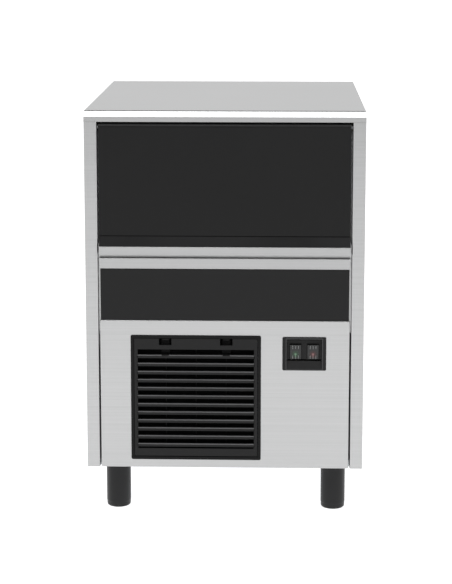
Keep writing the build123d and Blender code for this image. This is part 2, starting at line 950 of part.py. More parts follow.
# Foam round the bin
foam_bottom = bin_floor_z - bin_wall - foam_floor
foam_back = rear_y - foam_rear_gap
foam_half = inner_half - 2 * sheet
foam_front = depth(jamb_return + 4.0)
rail_foam_gap = 6.6
with BuildPart() as bin_insulation:
    block(
        x=(-foam_half, foam_half),
        y=(foam_front, foam_back),
        z=(foam_bottom, bin_top - 1.0),
    )
    block(
        x=(-rail_half + 2 * sheet, rail_half - 2 * sheet),
        y=(rail_face + sheet, foam_front),
        z=(rail_bottom + rail_foam_gap, rail_top - sheet),
    )
    block(
        x=(-outer_half, outer_half),
        y=(bin_front - bin_wall, bin_back + bin_wall),
        z=(bin_floor_z - bin_wall, bin_top),
        mode=Mode.SUBTRACT,
    )
    block(
        x=(-outer_half, outer_half),
        y=(depth(jamb_return), bin_front),
        z=(rail_top, bin_top),
        mode=Mode.SUBTRACT,
    )
    block(
        x=(-foam_half, foam_half),
        y=(depth(jamb_return), bin_front - bin_wall),
        z=(rail_top - sheet, rail_top),
        mode=Mode.SUBTRACT,
    )
    rod((bin_drain_x, bin_drain_y, foam_bottom - 5.0), (0, 0, 1), 60.0, 13.0, mode=Mode.SUBTRACT)
    for x_hole in tube_holes:
        rod(
            (x_hole, bin_back, tube_hole_z),
            (0, 1, 0),
            40.0,
            tube_radius + tube_hole_gap,
            mode=Mode.SUBTRACT,
        )

bin_insulation.part.label = "bin_insulation"

# Two crossbars that carry the foam and the bin
bin_rail_width = 22.0
bin_rail_sheet = 1.2
bin_rail_places = (depth(95.0), bin_back - 35.0)
with BuildPart() as bin_rails:
    for y_rail in bin_rail_places:
        block(
            x=(-inner_half, inner_half),
            y=(y_rail, y_rail + bin_rail_width),
            z=(foam_bottom - bin_rail_height, foam_bottom),
        )
        block(
            x=(-inner_half, inner_half),
            y=(y_rail + bin_rail_sheet, y_rail + bin_rail_width - bin_rail_sheet),
            z=(foam_bottom - bin_rail_height, foam_bottom - bin_rail_sheet),
            mode=Mode.SUBTRACT,
        )

bin_rails.part.label = "bin_rails"

# Drain from the bin's floor to the rear
outlet_flange = 4.0
flange_y = rear_y - outlet_flange
drain_bend = 26.0
drain_pipe_radius = drain_radius + 0.5
drain_pipe_wall = 3.0
drain_flange_radius = 19.0
with BuildPart() as bin_drain:
    pipe(
        [
            (bin_drain_x, bin_drain_y, bin_floor_z),
            (bin_drain_x, bin_drain_y, drain_z),
            (bin_drain_x, flange_y, drain_z),
        ],
        radius=drain_pipe_radius,
        bend=drain_bend,
    )
    rod((bin_drain_x, bin_drain_y, bin_floor_z), (0, 0, 1), 2.0, drain_flange_radius)
    rod(
        (bin_drain_x, bin_drain_y, bin_floor_z - 60.0),
        (0, 0, 1),
        70.0,
        drain_pipe_radius - drain_pipe_wall,
        mode=Mode.SUBTRACT,
    )

bin_drain.part.label = "bin_drain"

# Drain outlet through the rear panel
with BuildPart() as drain_outlet:
    rod((drain_x, flange_y, drain_z), (0, 1, 0), outlet_flange, drain_radius + 6.0)
    rod((drain_x, flange_y, drain_z), (0, 1, 0), spigot_y - flange_y, drain_radius - neck_step)
    rod((drain_x, spigot_y, drain_z), (0, 1, 0), end_y - spigot_y, drain_radius)
    rod((drain_x, rear_y - 2.0, drain_z), (0, 1, 0), 60.0, drain_radius - 3.0, mode=Mode.SUBTRACT)

drain_outlet.part.label = "drain_outlet"

# Cable gland
with BuildPart() as cable_gland:
    rod((gland_x, rear_y - 8.0, gland_z), (0, 1, 0), 8.0 + 2 * sheet, gland_radius)
    with BuildSketch(Plane(origin=(gland_x, rear_y + sheet, gland_z), z_dir=(0, 1, 0))):
        RegularPolygon(gland_radius + 4.0, 6)
    extrude(amount=5.0)
    rod((gland_x, rear_y + sheet + 5.0, gland_z), (0, 1, 0), 5.0, gland_radius - 1.0)
    rod((gland_x, rear_y - 9.0, gland_z), (0, 1, 0), 40.0, 4.0, mode=Mode.SUBTRACT)

cable_gland.part.label = "cable_gland"

# Ice maker bracket: a back plate on the bin's wall and two cheeks
pivot_y = bin_back - 27.0
pivot_z = drop(basin_bottom_drop) + trunnion_height
plate_z = drop(plate_drop)
basin_front = pivot_y + 7.0 + basin_wall - basin_length
cheek_front = basin_front - 14.0
curtain_y = basin_front - 7.0
curtain_z = plate_z + 12.0
curtain_pin = 2.5
bracket_top = plate_z + 30.0
with BuildPart() as module_bracket:
    block(
        x=(-cheek_x - cheek_sheet, cheek_x + cheek_sheet),
        y=(bin_back - cheek_sheet, bin_back),
        z=(pivot_z + 48.0, bracket_top),
    )
    for side in (-1, 1):
        cheek = sorted((side * cheek_x, side * (cheek_x + cheek_sheet)))
        with BuildSketch(Plane.YZ.offset(cheek[0])):
            with BuildLine():
                Polyline(
                    (bin_back, pivot_z - 16.0),
                    (pivot_y - 24.0, pivot_z - 16.0),
                    (cheek_front, plate_z - 6.0),
                    (cheek_front, bracket_top),
                    (bin_back, bracket_top),
                    close=True,
                )
            make_face()
        extrude(amount=cheek_sheet)
    rod(
        (-cheek_x - 5.0, pivot_y, pivot_z),
        (1, 0, 0),
        2 * cheek_x + 10.0,
        trunnion_radius + running_gap,
        mode=Mode.SUBTRACT,
    )
    rod(
        (-cheek_x - 5.0, curtain_y, curtain_z),
        (1, 0, 0),
        2 * cheek_x + 10.0,
        curtain_pin + running_gap,
        mode=Mode.SUBTRACT,
    )
    for x_hole in tube_holes:
        rod(
            (x_hole, bin_back - 10.0, tube_hole_z),
            (0, 1, 0),
            20.0,
            tube_radius + tube_hole_gap,
            mode=Mode.SUBTRACT,
        )

module_bracket.part.label = "module_bracket"

# Evaporator: a plate with tapered fingers that hang into the basin
finger_y = pivot_y - 46.0 - finger_pitch * (finger_rows - 1) / 2
finger_columns = int(2 * (basin_half - finger_margin) // finger_pitch)
plate_half_x = finger_pitch * finger_columns / 2
plate_half_y = finger_pitch * finger_rows / 2
with BuildPart() as evaporator:
    block(
        x=(-plate_half_x, plate_half_x),
        y=(finger_y - plate_half_y, finger_y + plate_half_y),
        z=(plate_z, plate_z + plate_thickness),
    )
    with BuildSketch(Plane.XY.offset(plate_z)):
        with Locations((0, finger_y)):
            with GridLocations(finger_pitch, finger_pitch, finger_columns, finger_rows):
                RegularPolygon(finger_radius, 12)
    extrude(amount=-finger_length, taper=2.0)

evaporator.part.label = "evaporator"

# Refrigerant coil on the evaporator plate
coil_z = plate_z + plate_thickness + coil_radius
coil_turn = finger_pitch
coil_x = plate_half_x - 22.0
coil_ends = [(finger_y - 1.5 * coil_turn + row * coil_turn) for row in range(4)]
with BuildPart() as evaporator_coil:
    pipe(
        [
            (-tube_hole_x, bin_back + 12.0, tube_hole_z),
            (-tube_hole_x, coil_ends[3], tube_hole_z),
            (-coil_x + 30.0, coil_ends[3], coil_z),
            (coil_x, coil_ends[3], coil_z),
            (coil_x, coil_ends[2], coil_z),
            (-coil_x, coil_ends[2], coil_z),
            (-coil_x, coil_ends[1], coil_z),
            (coil_x, coil_ends[1], coil_z),
            (coil_x, coil_ends[0], coil_z),
            (-coil_x, coil_ends[0], coil_z),
        ],
        radius=tube_radius,
        bend=coil_turn / 2 - 1.0,
    )

evaporator_coil.part.label = "evaporator_coil"

# Moulded cover over the coil, hung between the cheeks, that holds the plate on posts
cover_z = coil_z + coil_radius + 6.0
post_inset = 7.0
post_radius = 5.0
with BuildPart() as evaporator_cover:
    block(
        x=(-cheek_x, cheek_x),
        y=(cheek_front + 4.0, finger_y + plate_half_y + 20.0),
        z=(cover_z, cover_z + 3.0),
    )
    post_x = plate_half_x - post_inset
    post_y = plate_half_y - post_inset
    for x_post in (-post_x, post_x):
        for y_post in (finger_y - post_y, finger_y + post_y):
            rod(
                (x_post, y_post, plate_z + plate_thickness),
                (0, 0, 1),
                cover_z - plate_z - plate_thickness,
                post_radius,
            )

evaporator_cover.part.label = "evaporator_cover"

# Tilting water basin
basin_z = drop(basin_bottom_drop)
basin_back = basin_front + basin_length
trunnion_end = cheek_x + cheek_sheet + 8.0
with BuildPart() as water_basin:
    block(x=(-basin_half, basin_half), y=(basin_front, basin_back), z=(basin_z, basin_z + basin_depth))
    fillet(water_basin.edges().filter_by(Axis.Z), 6.0)
    fillet(water_basin.edges().group_by(Axis.Z)[0], 4.0)
    offset(amount=-basin_wall, openings=water_basin.faces().sort_by(Axis.Z)[-1])
    for side in (-1, 1):
        rod(
            (side * (basin_half - basin_wall), pivot_y, pivot_z),
            (side, 0, 0),
            trunnion_end - basin_half + basin_wall,
            trunnion_radius,
        )
    paddle_y = finger_y
    paddle_z = basin_z + 13.0
    rod(
        (-basin_half - 1.0, paddle_y, paddle_z),
        (1, 0, 0),
        basin_wall + 2.0,
        paddle_radius + running_gap,
        mode=Mode.SUBTRACT,
    )

water_basin.part.label = "water_basin"

# Paddle shaft: it rocks between the fingers
paddle_half_width = 7.0
paddle_half_sheet = 0.9
paddle_height = 24.0
with BuildPart() as paddle_shaft:
    rod(
        (-basin_half - 6.0, paddle_y, paddle_z),
        (1, 0, 0),
        2 * basin_half - basin_wall + 6.0 - seat_gap,
        paddle_radius,
    )
    for column in range(finger_columns - 1):
        x_blade = (column - (finger_columns - 2) / 2) * finger_pitch
        block(
            x=(x_blade - paddle_half_width, x_blade + paddle_half_width),
            y=(paddle_y - paddle_half_sheet, paddle_y + paddle_half_sheet),
            z=(paddle_z, paddle_z + paddle_height),
        )

paddle_shaft.part.label = "paddle_shaft"

# Motor that rocks the paddles, on the basin's side
with BuildPart() as paddle_motor:
    rod((-basin_half, paddle_y, paddle_z + 4.0), (-1, 0, 0), 16.0, 19.0)
    rod(
        (-basin_half, paddle_y, paddle_z),
        (-1, 0, 0),
        8.0,
        paddle_radius + running_gap,
        mode=Mode.SUBTRACT,
    )

paddle_motor.part.label = "paddle_motor"

# Motor that tilts the basin, on the right cheek
tilt_motor_radius = 22.0
with BuildPart() as tilt_motor:
    rod(
        (cheek_x + cheek_sheet, pivot_y, pivot_z),
        (1, 0, 0),
        bin_half - cheek_x - cheek_sheet - seat_gap,
        tilt_motor_radius,
    )
    rod(
        (cheek_x + cheek_sheet - 1.0, pivot_y, pivot_z),
        (1, 0, 0),
        12.0,
        trunnion_radius + running_gap,
        mode=Mode.SUBTRACT,
    )

tilt_motor.part.label = "tilt_motor"

# Splash curtain in front of the fingers, hung from two pins in the cheeks
curtain_drop = 78.0
curtain_half = cheek_x - 1.5
with BuildPart() as splash_curtain:
    block(
        x=(-curtain_half, curtain_half),
        y=(curtain_y - 1.0, curtain_y + 1.0),
        z=(curtain_z - curtain_drop, curtain_z),
    )
    rod(
        (-cheek_x - cheek_sheet, curtain_y, curtain_z),
        (1, 0, 0),
        2 * (cheek_x + cheek_sheet),
        curtain_pin,
    )

splash_curtain.part.label = "splash_curtain"

# Thermostat bulb that feels when the bin is full
bulb_z = drop(bulb_drop)
bulb_y = depth(bulb_inset)
bulb_x = bin_half - 9.0
bulb_length = 110.0
with BuildPart() as bin_thermostat:
    rod((bulb_x, bulb_y, bulb_z), (0, 1, 0), bulb_length, 4.0)
    for y_clip in (bulb_y + 18.0, bulb_y + bulb_length - 28.0):
        block(
            x=(bulb_x, bin_half),
            y=(y_clip, y_clip + 10.0),
            z=(bulb_z - 6.0, bulb_z + 6.0),
        )

bin_thermostat.part.label = "bin_thermostat"

# Compressor: a domed shell on a foot plate
compressor_x = half - compressor_side_inset
compressor_y = back_y - compressor_inset
grommet_height = 9.0
plate_low = deck_z + grommet_height
shell_low = plate_low + 3.0
foot_half = compressor_radius - 4.0
grommet_radius = 9.0
grommet_pitch = 2 * (foot_half - grommet_radius) - 6.0
with BuildPart() as compressor:
    rod((compressor_x, compressor_y, shell_low), (0, 0, 1), compressor_height, compressor_radius)
    fillet(compressor.edges().group_by(Axis.Z)[-1], 34.0)
    fillet(compressor.edges().group_by(Axis.Z)[0], 14.0)
    rod(
        (compressor_x, compressor_y, shell_low + 78.0),
        (0, 0, 1),
        5.0,
        compressor_radius + 3.0,
    )
    block(
        x=(compressor_x - foot_half, compressor_x + foot_half),
        y=(compressor_y - foot_half, compressor_y + foot_half),
        z=(plate_low, shell_low + 1.0),
    )
    fillet(compressor.edges().filter_by(Axis.Z).group_by(Axis.Z)[0], 14.0)

compressor.part.label = "compressor"

# Rubber grommets under the compressor
with BuildPart() as compressor_grommets:
    with BuildSketch(Plane.XY.offset(deck_z)):
        with Locations((compressor_x, compressor_y)):
            with GridLocations(grommet_pitch, grommet_pitch, 2, 2):
                Circle(grommet_radius)
    extrude(amount=grommet_height)

compressor_grommets.part.label = "compressor_grommets"

# Start relay on the compressor's side
relay_width = 44.0
with BuildPart() as start_relay:
    block(
        x=(compressor_x - relay_width / 2, compressor_x + relay_width / 2),
        y=(compressor_y - compressor_radius - 24.0, compressor_y - compressor_radius + 14.0),
        z=(shell_low + 20.0, shell_low + 72.0),
    )
    rod(
        (compressor_x, compressor_y, shell_low),
        (0, 0, 1),
        compressor_height,
        compressor_radius + seat_gap,
        mode=Mode.SUBTRACT,
    )

start_relay.part.label = "start_relay"

# Condenser: flat tubes and fins between two headers
condenser_front = depth(29.0)
condenser_low = deck_z + 16.0
header_radius = 6.0
fin_count = 22
tube_rows = 8
fin_span = condenser_width - 4 * header_radius
tube_reach = fin_span / 2 + header_radius + 1.0
header_reach = fin_span / 2 + 2 * header_radius
with BuildPart() as condenser:
    for row in range(tube_rows):
        z_tube = condenser_low + condenser_height * (row + 0.5) / tube_rows
        block(
            x=(grille_x - tube_reach, grille_x + tube_reach),
            y=(condenser_front + 4.0, condenser_front + condenser_depth - 4.0),
            z=(z_tube - 1.2, z_tube + 1.2),
        )
    for column in range(fin_count):
        x_fin = grille_x - fin_span / 2 + fin_span * column / (fin_count - 1)
        block(
            x=(x_fin - 0.4, x_fin + 0.4),
            y=(condenser_front, condenser_front + condenser_depth),
            z=(condenser_low, condenser_low + condenser_height),
        )
    for side in (-1, 1):
        rod(
            (
                grille_x + side * header_reach,
                condenser_front + condenser_depth / 2,
                condenser_low,
            ),
            (0, 0, 1),
            condenser_height,
            header_radius,
        )

condenser.part.label = "condenser"

# Fan shroud: a plate with a ring, between two feet on the tray
shroud_front = condenser_front + condenser_depth + seat_gap
shroud_sheet = 1.5
ring_depth = 26.0
shroud_foot_inset = 6.0
shroud_foot_width = 18.0
fan_z = condenser_low + condenser_height / 2
fan_clearance = 5.0
with BuildPart() as fan_shroud:
    block(
        x=(grille_x - condenser_width / 2, grille_x + condenser_width / 2),
        y=(shroud_front, shroud_front + shroud_sheet),
        z=(deck_z, condenser_low + condenser_height),
    )
    rod(
        (grille_x, shroud_front, fan_z),
        (0, 1, 0),
        ring_depth,
        fan_radius + fan_clearance + shroud_sheet,
    )
    rod(
        (grille_x, shroud_front - 1.0, fan_z),
        (0, 1, 0),
        ring_depth + 2.0,
        fan_radius + fan_clearance,
        mode=Mode.SUBTRACT,
    )
    for side in (-1, 1):
        foot_end = condenser_width / 2 - shroud_foot_inset
        foot_start = foot_end - shroud_foot_width
        foot = sorted((grille_x + side * foot_end, grille_x + side * foot_start))
        block(x=foot, y=(shroud_front, shroud_front + 20.0), z=(deck_z, deck_z + shroud_sheet))

fan_shroud.part.label = "fan_shroud"

# Fan: pitched blades on a hub, with its shaft
fan_front = shroud_front + 6.0
hub_radius = 20.0
hub_depth = 18.0
fan_shaft_radius = 3.0
with BuildPart() as fan_blade:
    rod((grille_x, fan_front, fan_z), (0, 1, 0), hub_depth, hub_radius)
    hub_middle = Vector(grille_x, fan_front + hub_depth / 2, fan_z)
    for number in range(fan_blade_count):
        turn = 2 * pi * number / fan_blade_count
        outward = Vector(cos(turn), 0, sin(turn))
        root = Plane(origin=hub_middle + outward * (hub_radius - 2.0), x_dir=(0, 1, 0), z_dir=outward)
        with BuildSketch(root):
            Rectangle(2.0, 24.0, rotation=38.0)
        with BuildSketch(root.offset(fan_radius - hub_radius + 2.0)):
            Rectangle(1.6, 46.0, rotation=24.0)
        loft()
    rod((grille_x, fan_front, fan_z), (0, 1, 0), hub_depth + 18.0, fan_shaft_radius)

fan_blade.part.label = "fan_blade"

# Fan motor with its shaft
motor_front = fan_front + hub_depth + 8.0
motor_depth = 56.0
with BuildPart() as fan_motor:
    rod((grille_x, motor_front, fan_z), (0, 1, 0), motor_depth, fan_motor_radius)
    fillet(fan_motor.edges(), 5.0)
    rod((grille_x, motor_front - 7.5, fan_z), (0, 1, 0), 12.0, 9.0)
    rod(
        (grille_x, motor_front - 8.0, fan_z),
        (0, 1, 0),
        20.0,
        fan_shaft_radius + running_gap,
        mode=Mode.SUBTRACT,
    )

fan_motor.part.label = "fan_motor"

# Bracket that stands on the tray and holds the fan motor by its rear
motor_back = motor_front + motor_depth
bracket_half = fan_motor_radius + 2.0
bracket_sheet = 2.0
bracket_foot = 34.0
with BuildPart() as motor_bracket:
    block(
        x=(grille_x - bracket_half, grille_x + bracket_half),
        y=(motor_back, motor_back + bracket_sheet),
        z=(deck_z, fan_z + bracket_half),
    )
    block(
        x=(grille_x - bracket_half, grille_x + bracket_half),
        y=(motor_back, motor_back + bracket_foot),
        z=(deck_z, deck_z + bracket_sheet),
    )
    fillet(motor_bracket.edges().filter_by(Axis.Y).group_by(Axis.Z)[-1], 16.0)

motor_bracket.part.label = "motor_bracket"

# Control box on the right side panel
control_width = 81.0
control_inset = 70.0
control_length = 130.0
control_rise = 110.0
with BuildPart() as control_box:
    block(
        x=(inner_half - control_width, inner_half),
        y=(depth(control_inset), depth(control_inset + control_length)),
        z=(rise(control_rise), foam_bottom - bin_rail_height - 6.0),
    )
    fillet(control_box.edges().filter_by(Axis.Y), 4.0)

control_box.part.label = "control_box"

# Filter drier on its clip
drier_side_inset = 100.0
drier_x = drier_side_inset - half
drier_y = 60.0
drier_low = rise(50.0)
drier_length = 110.0
drier_radius = 12.0
with BuildPart() as filter_drier:
    rod((drier_x, drier_y, drier_low), (0, 0, 1), drier_length, drier_radius)
    chamfer(filter_drier.edges().group_by(Axis.Z)[-1], 6.0)
    chamfer(filter_drier.edges().group_by(Axis.Z)[0], 6.0)

filter_drier.part.label = "filter_drier"

# Clip that holds the drier off the left side panel
with BuildPart() as drier_clip:
    block(
        x=(-inner_half, drier_x),
        y=(drier_y - drier_radius - 2.0, drier_y + drier_radius + 2.0),
        z=(drier_low + 50.0, drier_low + 64.0),
    )
    block(
        x=(-inner_half + 2.0, drier_x - drier_radius - 3.0),
        y=(drier_y - drier_radius, drier_y + drier_radius + 2.0),
        z=(drier_low + 49.0, drier_low + 65.0),
        mode=Mode.SUBTRACT,
    )
    rod((drier_x, drier_y, drier_low), (0, 0, 1), drier_length, drier_radius, mode=Mode.SUBTRACT)

drier_clip.part.label = "drier_clip"

# Tubes of the cooling circuit
chase_y = (foam_back + rear_y) / 2
level_z = foam_bottom - bin_rail_height - 34.0
header_x = grille_x + header_reach
discharge_x = header_x + 31.0
header_y = condenser_front + condenser_depth / 2
left_header_x = grille_x - header_reach
compressor_top = shell_low + compressor_height
suction_z = compressor_top - 45.0
with BuildPart() as discharge_tube:
    pipe(
        [
            (compressor_x - 8.0, compressor_y - 20.0, compressor_top),
            (compressor_x - 8.0, compressor_y - 20.0, level_z),
            (discharge_x, depth(150.0), level_z),
            (discharge_x, header_y, level_z),
            (header_x + header_radius, header_y, level_z),
        ],
        radius=tube_radius,
        bend=9.0,
    )

discharge_tube.part.label = "discharge_tube"

liquid_x = left_header_x - header_radius - 20.0
liquid_z = condenser_low + 30.0
with BuildPart() as liquid_tube:
    pipe(
        [
            (left_header_x - header_radius, header_y, liquid_z),
            (liquid_x, header_y, liquid_z),
            (liquid_x, drier_y - 60.0, liquid_z),
            (drier_x, drier_y, condenser_low + 14.0),
            (drier_x, drier_y, drier_low),
        ],
        radius=tube_radius - 1.0,
        bend=9.0,
    )
    pipe(
        [
            (drier_x, drier_y, drier_low + drier_length),
            (drier_x, drier_y, level_z + 4.0),
            (drier_x, chase_y, level_z + 4.0),
            (drier_x, chase_y, tube_hole_z),
            (drier_x, bin_back + 12.0, tube_hole_z),
        ],
        radius=tube_radius - 1.0,
        bend=6.0,
    )

liquid_tube.part.label = "liquid_tube"

return_x = -coil_x - 37.0
return_z = coil_z - 11.0
with BuildPart() as suction_tube:
    pipe(
        [
            (-coil_x, coil_ends[0], coil_z),
            (return_x + 12.0, coil_ends[0], coil_z),
            (return_x, coil_ends[0], return_z),
            (return_x, bin_back - 24.0, return_z),
            (suction_x, bin_back - 14.0, tube_hole_z),
            (suction_x, chase_y, tube_hole_z),
            (suction_x, chase_y, suction_z + 30.0),
            (suction_x, compressor_y, suction_z),
            (compressor_x - compressor_radius - 0.2, compressor_y, suction_z),
        ],
        radius=tube_radius,
        bend=5.0,
    )

suction_tube.part.label = "suction_tube"

# Hot gas valve on the discharge tube
valve_y = depth(100.0)
valve_half = 12.0
with BuildPart() as hot_gas_valve:
    block(
        x=(discharge_x - valve_half, discharge_x + valve_half),
        y=(valve_y - valve_half, valve_y + valve_half),
        z=(level_z - 20.0, level_z + 9.0),
    )
    rod((discharge_x, valve_y, level_z - 56.0), (0, 0, 1), 36.0, 15.0)
    rod(
        (discharge_x, valve_y - 20.0, level_z),
        (0, 1, 0),
        40.0,
        tube_radius + running_gap,
        mode=Mode.SUBTRACT,
    )

hot_gas_valve.part.label = "hot_gas_valve"

# Water inlet valve
valve_collar = 3.0
valve_body_half = 15.0
solenoid_radius = 14.0
collar_y = rear_y - valve_collar
with BuildPart() as water_valve:
    rod((inlet_x, collar_y, inlet_z), (0, 1, 0), spigot_y - collar_y, inlet_radius - neck_step)
    rod((inlet_x, spigot_y, inlet_z), (0, 1, 0), end_y - spigot_y, inlet_radius)
    rod((inlet_x, collar_y, inlet_z), (0, 1, 0), valve_collar, inlet_radius + 4.0)
    block(
        x=(inlet_x - valve_body_half, inlet_x + valve_body_half),
        y=(rear_y - 34.0, collar_y),
        z=(inlet_z - solenoid_radius, inlet_z + solenoid_radius),
    )
    rod((inlet_x, rear_y - 19.0, inlet_z + solenoid_radius), (0, 0, 1), 34.0, solenoid_radius)
    rod((inlet_x, rear_y - 8.0, inlet_z), (0, 1, 0), 60.0, inlet_radius - 4.0, mode=Mode.SUBTRACT)

water_valve.part.label = "water_valve"

# Pipe from the valve up the back and over the basin's edge
with BuildPart() as fill_pipe:
    pipe(
        [
            (inlet_x - valve_body_half, chase_y, inlet_z),
            (tube_hole_x, chase_y, inlet_z),
            (tube_hole_x, chase_y, tube_hole_z),
            (tube_hole_x, bin_back - 38.0, tube_hole_z),
            (tube_hole_x - 14.0, bin_back - 38.0, tube_hole_z - 18.0),
        ],
        radius=tube_radius - 0.5,
        bend=7.0,
    )

fill_pipe.part.label = "fill_pipe"

for name, foot in legs.items():
    foot.part.label = name

pieces = [
    worktop,
    lid_insulation,
    side_panel_left,
    side_panel_right,
    rear_panel,
    panel_screws,
    base_tray,
    sill_rail,
    trim_band,
    fascia_strip,
    front_panel,
    grille_frame,
    grille_insert,
    air_filter,
    switch_bezel,
    switch_bodies,
    green_rocker,
    red_rocker,
    door_panel,
    door_handle,
    door_liner,
    door_pins,
    door_bushes,
    bin_liner,
    bin_insulation,
    bin_rails,
    bin_drain,
    drain_outlet,
    cable_gland,
    module_bracket,
    evaporator,
    evaporator_coil,
    evaporator_cover,
    water_basin,
    paddle_shaft,
    paddle_motor,
    tilt_motor,
    splash_curtain,
    bin_thermostat,
    compressor,
    compressor_grommets,
    start_relay,
    condenser,
    fan_shroud,
    fan_blade,
    fan_motor,
    motor_bracket,
    control_box,
    filter_drier,
    drier_clip,
    discharge_tube,
    liquid_tube,
    suction_tube,
    hot_gas_valve,
    water_valve,
    fill_pipe,
    *legs.values(),
]

os.makedirs("parts", exist_ok=True)
for piece in pieces:
    export_step(piece.part, f"parts/{piece.part.label}.step")
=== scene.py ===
"""Looks of a hollow ice cube machine, built round its packed frame.

Laid out as an add-on: the sidebar lists the sizes and colours, and one operator
for each piece or group of like pieces. Run as a script, it builds them all.
"""

import json
import math

import bmesh
import bpy
from bpy.props import FloatProperty, FloatVectorProperty, IntProperty, PointerProperty
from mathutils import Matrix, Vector


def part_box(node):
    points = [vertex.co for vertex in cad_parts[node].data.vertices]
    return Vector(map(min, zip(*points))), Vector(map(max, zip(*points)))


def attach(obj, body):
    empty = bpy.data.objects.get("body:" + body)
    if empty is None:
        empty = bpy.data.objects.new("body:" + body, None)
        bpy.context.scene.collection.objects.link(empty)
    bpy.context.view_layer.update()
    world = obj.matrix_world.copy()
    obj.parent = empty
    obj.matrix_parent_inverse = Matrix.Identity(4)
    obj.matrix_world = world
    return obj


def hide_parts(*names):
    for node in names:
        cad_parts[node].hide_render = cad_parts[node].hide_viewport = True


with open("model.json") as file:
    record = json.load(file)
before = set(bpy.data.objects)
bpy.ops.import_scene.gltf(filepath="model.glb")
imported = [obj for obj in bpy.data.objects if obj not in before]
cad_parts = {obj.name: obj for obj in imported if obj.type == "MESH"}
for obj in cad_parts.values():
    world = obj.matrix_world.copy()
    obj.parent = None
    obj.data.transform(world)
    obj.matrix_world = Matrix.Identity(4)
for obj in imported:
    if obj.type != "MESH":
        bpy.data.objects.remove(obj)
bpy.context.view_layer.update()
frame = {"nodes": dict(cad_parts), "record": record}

bl_info = {
    "name": "Hollow ice cube machine",
    "version": (1, 0, 0),
    "blender": (4, 5, 0),
    "location": "3D View > Sidebar > Ice machine",
    "description": "Finishes and fine parts of an under-counter ice machine",
    "category": "Object",
}

MM = 0.001
SMALL_EDGE = 0.4 * MM
BOTH_SIDES = (-1, 1)
SLOT_OF = {part["node"]: part["material_slot"] for part in frame["record"]["subparts"]}


def length(name, description, millimetres):
    """A size that a user may change, kept in metres."""
    return FloatProperty(
        name=name, description=description, default=millimetres * MM, unit="LENGTH", precision=5
    )


def amount(name, description, default):
    """A plain number that a user may change."""
    return FloatProperty(name=name, description=description, default=default)


def turn(name, description, default):
    """An angle that a user may change, in radians."""
    return FloatProperty(name=name, description=description, default=default, subtype="ANGLE")


def colour(name, description, default):
    """A colour that a user may change."""
    return FloatVectorProperty(
        name=name, description=description, default=default, subtype="COLOR", min=0.0, max=1.0
    )


class IceMachineSteel(bpy.types.PropertyGroup):
    """Sheet steel of the cabinet."""

    colour: colour("Steel", "Reflected colour of the brushed steel", (0.416, 0.418, 0.420))
    roughness: amount("Roughness", "Softness of the brushed steel", 0.34)
    lines: amount("Brush lines", "Brush lines in a metre of sheet", 950.0)
    zinc: colour("Zinc", "Colour of the zinc-coated sheets", (0.46, 0.48, 0.50))


class IceMachinePlastic(bpy.types.PropertyGroup):
    """Plastic parts."""

    black: colour("Black", "Colour of the satin black parts", (0.0062, 0.0062, 0.0064))
    grille: colour("Grille", "Colour of the moulded grille", (0.0066, 0.0066, 0.0068))
    leg: colour("Legs", "Colour of the moulded legs", (0.0076, 0.0076, 0.0082))
    pale: colour("Liner", "Colour of the moulded bin liner", (0.72, 0.735, 0.75))
    roughness: amount("Roughness", "Softness of the black parts", 0.42)


class IceMachineGrille(bpy.types.PropertyGroup):
    """Louvred insert of the air intake."""

    plate: length("Plate", "Thickness of the insert's face", 3.0)
    rim: length("Rim", "Thickness of the insert's side walls", 2.0)
    slot_width: length("Slot width", "Width of the louvred window", 210.0)
    slot_top: length("Slot top", "Height of the window's upper edge", 310.3)
    slot_bottom: length("Slot bottom", "Height of the window's lower edge", 126.0)
    blades: IntProperty(name="Blades", description="Number of louvre blades", default=12)
    pitch: length("Blade pitch", "Distance from one blade to the next", 15.0)
    first: length("First blade", "Height of the uppermost blade", 297.0)
    blade_height: length("Blade height", "Height of a blade with its sloping upper edge", 6.2)
    blade_depth: length("Blade depth", "Depth of a blade", 9.0)
    notch_width: length("Notch width", "Width of a finger notch", 22.6)
    notch_height: length("Notch height", "Height of a finger notch", 12.0)
    notch_offset: length("Notch offset", "Distance of a notch from the middle", 55.0)
    latch_width: length("Latch width", "Width of a latch tongue", 15.0)
    rib_pitch: length("Rib pitch", "Distance between the ribs behind the blades", 54.5)
    mesh_pitch: length("Filter mesh", "Distance between the filter's threads", 2.4)


class IceMachineSwitches(bpy.types.PropertyGroup):
    """Two rocker switches."""

    green: colour("Green lamp", "Glow of the left rocker", (0.12, 0.75, 0.22))
    red: colour("Red lamp", "Glow of the right rocker", (0.85, 0.10, 0.10))
    smoke: colour("Rocker", "Body colour of the smoked rockers", (0.011, 0.0115, 0.0115))
    # Lighter than the smoked key: a painted highlight on the finger ribs.
    rib: colour("Ribs", "Colour of the rockers' finger ribs", (0.125, 0.128, 0.128))
    tilt: turn("Tilt", "Rest angle of a rocker", math.radians(6.0))
    width: length("Width", "Width of a rocker's cap", 20.2)
    height: length("Height", "Height of a rocker's cap", 26.2)
    stem_width: length("Stem width", "Width of a rocker behind its cap", 18.6)
    stem_height: length("Stem height", "Height of a rocker behind its cap", 23.6)
    level: length("Level", "Height of the rockers' pivots", 307.0)
    spacing: length("Spacing", "Distance between the rockers", 31.5)
    seat_width: length("Seat width", "Width of the hole for a switch", 21.0)
    seat_height: length("Seat height", "Height of the hole for a switch", 27.6)
    pocket_width: length("Pocket width", "Width of the bezel's pocket", 63.2)
    pocket_depth: length("Pocket depth", "Depth of the pocket's floor", 7.0)
    pocket_margin: length("Pocket margin", "Bezel below the pocket", 2.5)
    pocket_drop: length("Pocket drop", "Bezel above the pocket", 4.0)


class IceMachineLegs(bpy.types.PropertyGroup):
    """Four levelling legs."""

    radius: length("Radius", "Radius of a leg", 22.5)
    height: length("Height", "Length of a leg below the cabinet", 89.7)
    stud: length("Stud", "Length of the threaded stud above a leg", 30.0)
    thread: length("Thread pitch", "Pitch of the stud's thread", 1.5)


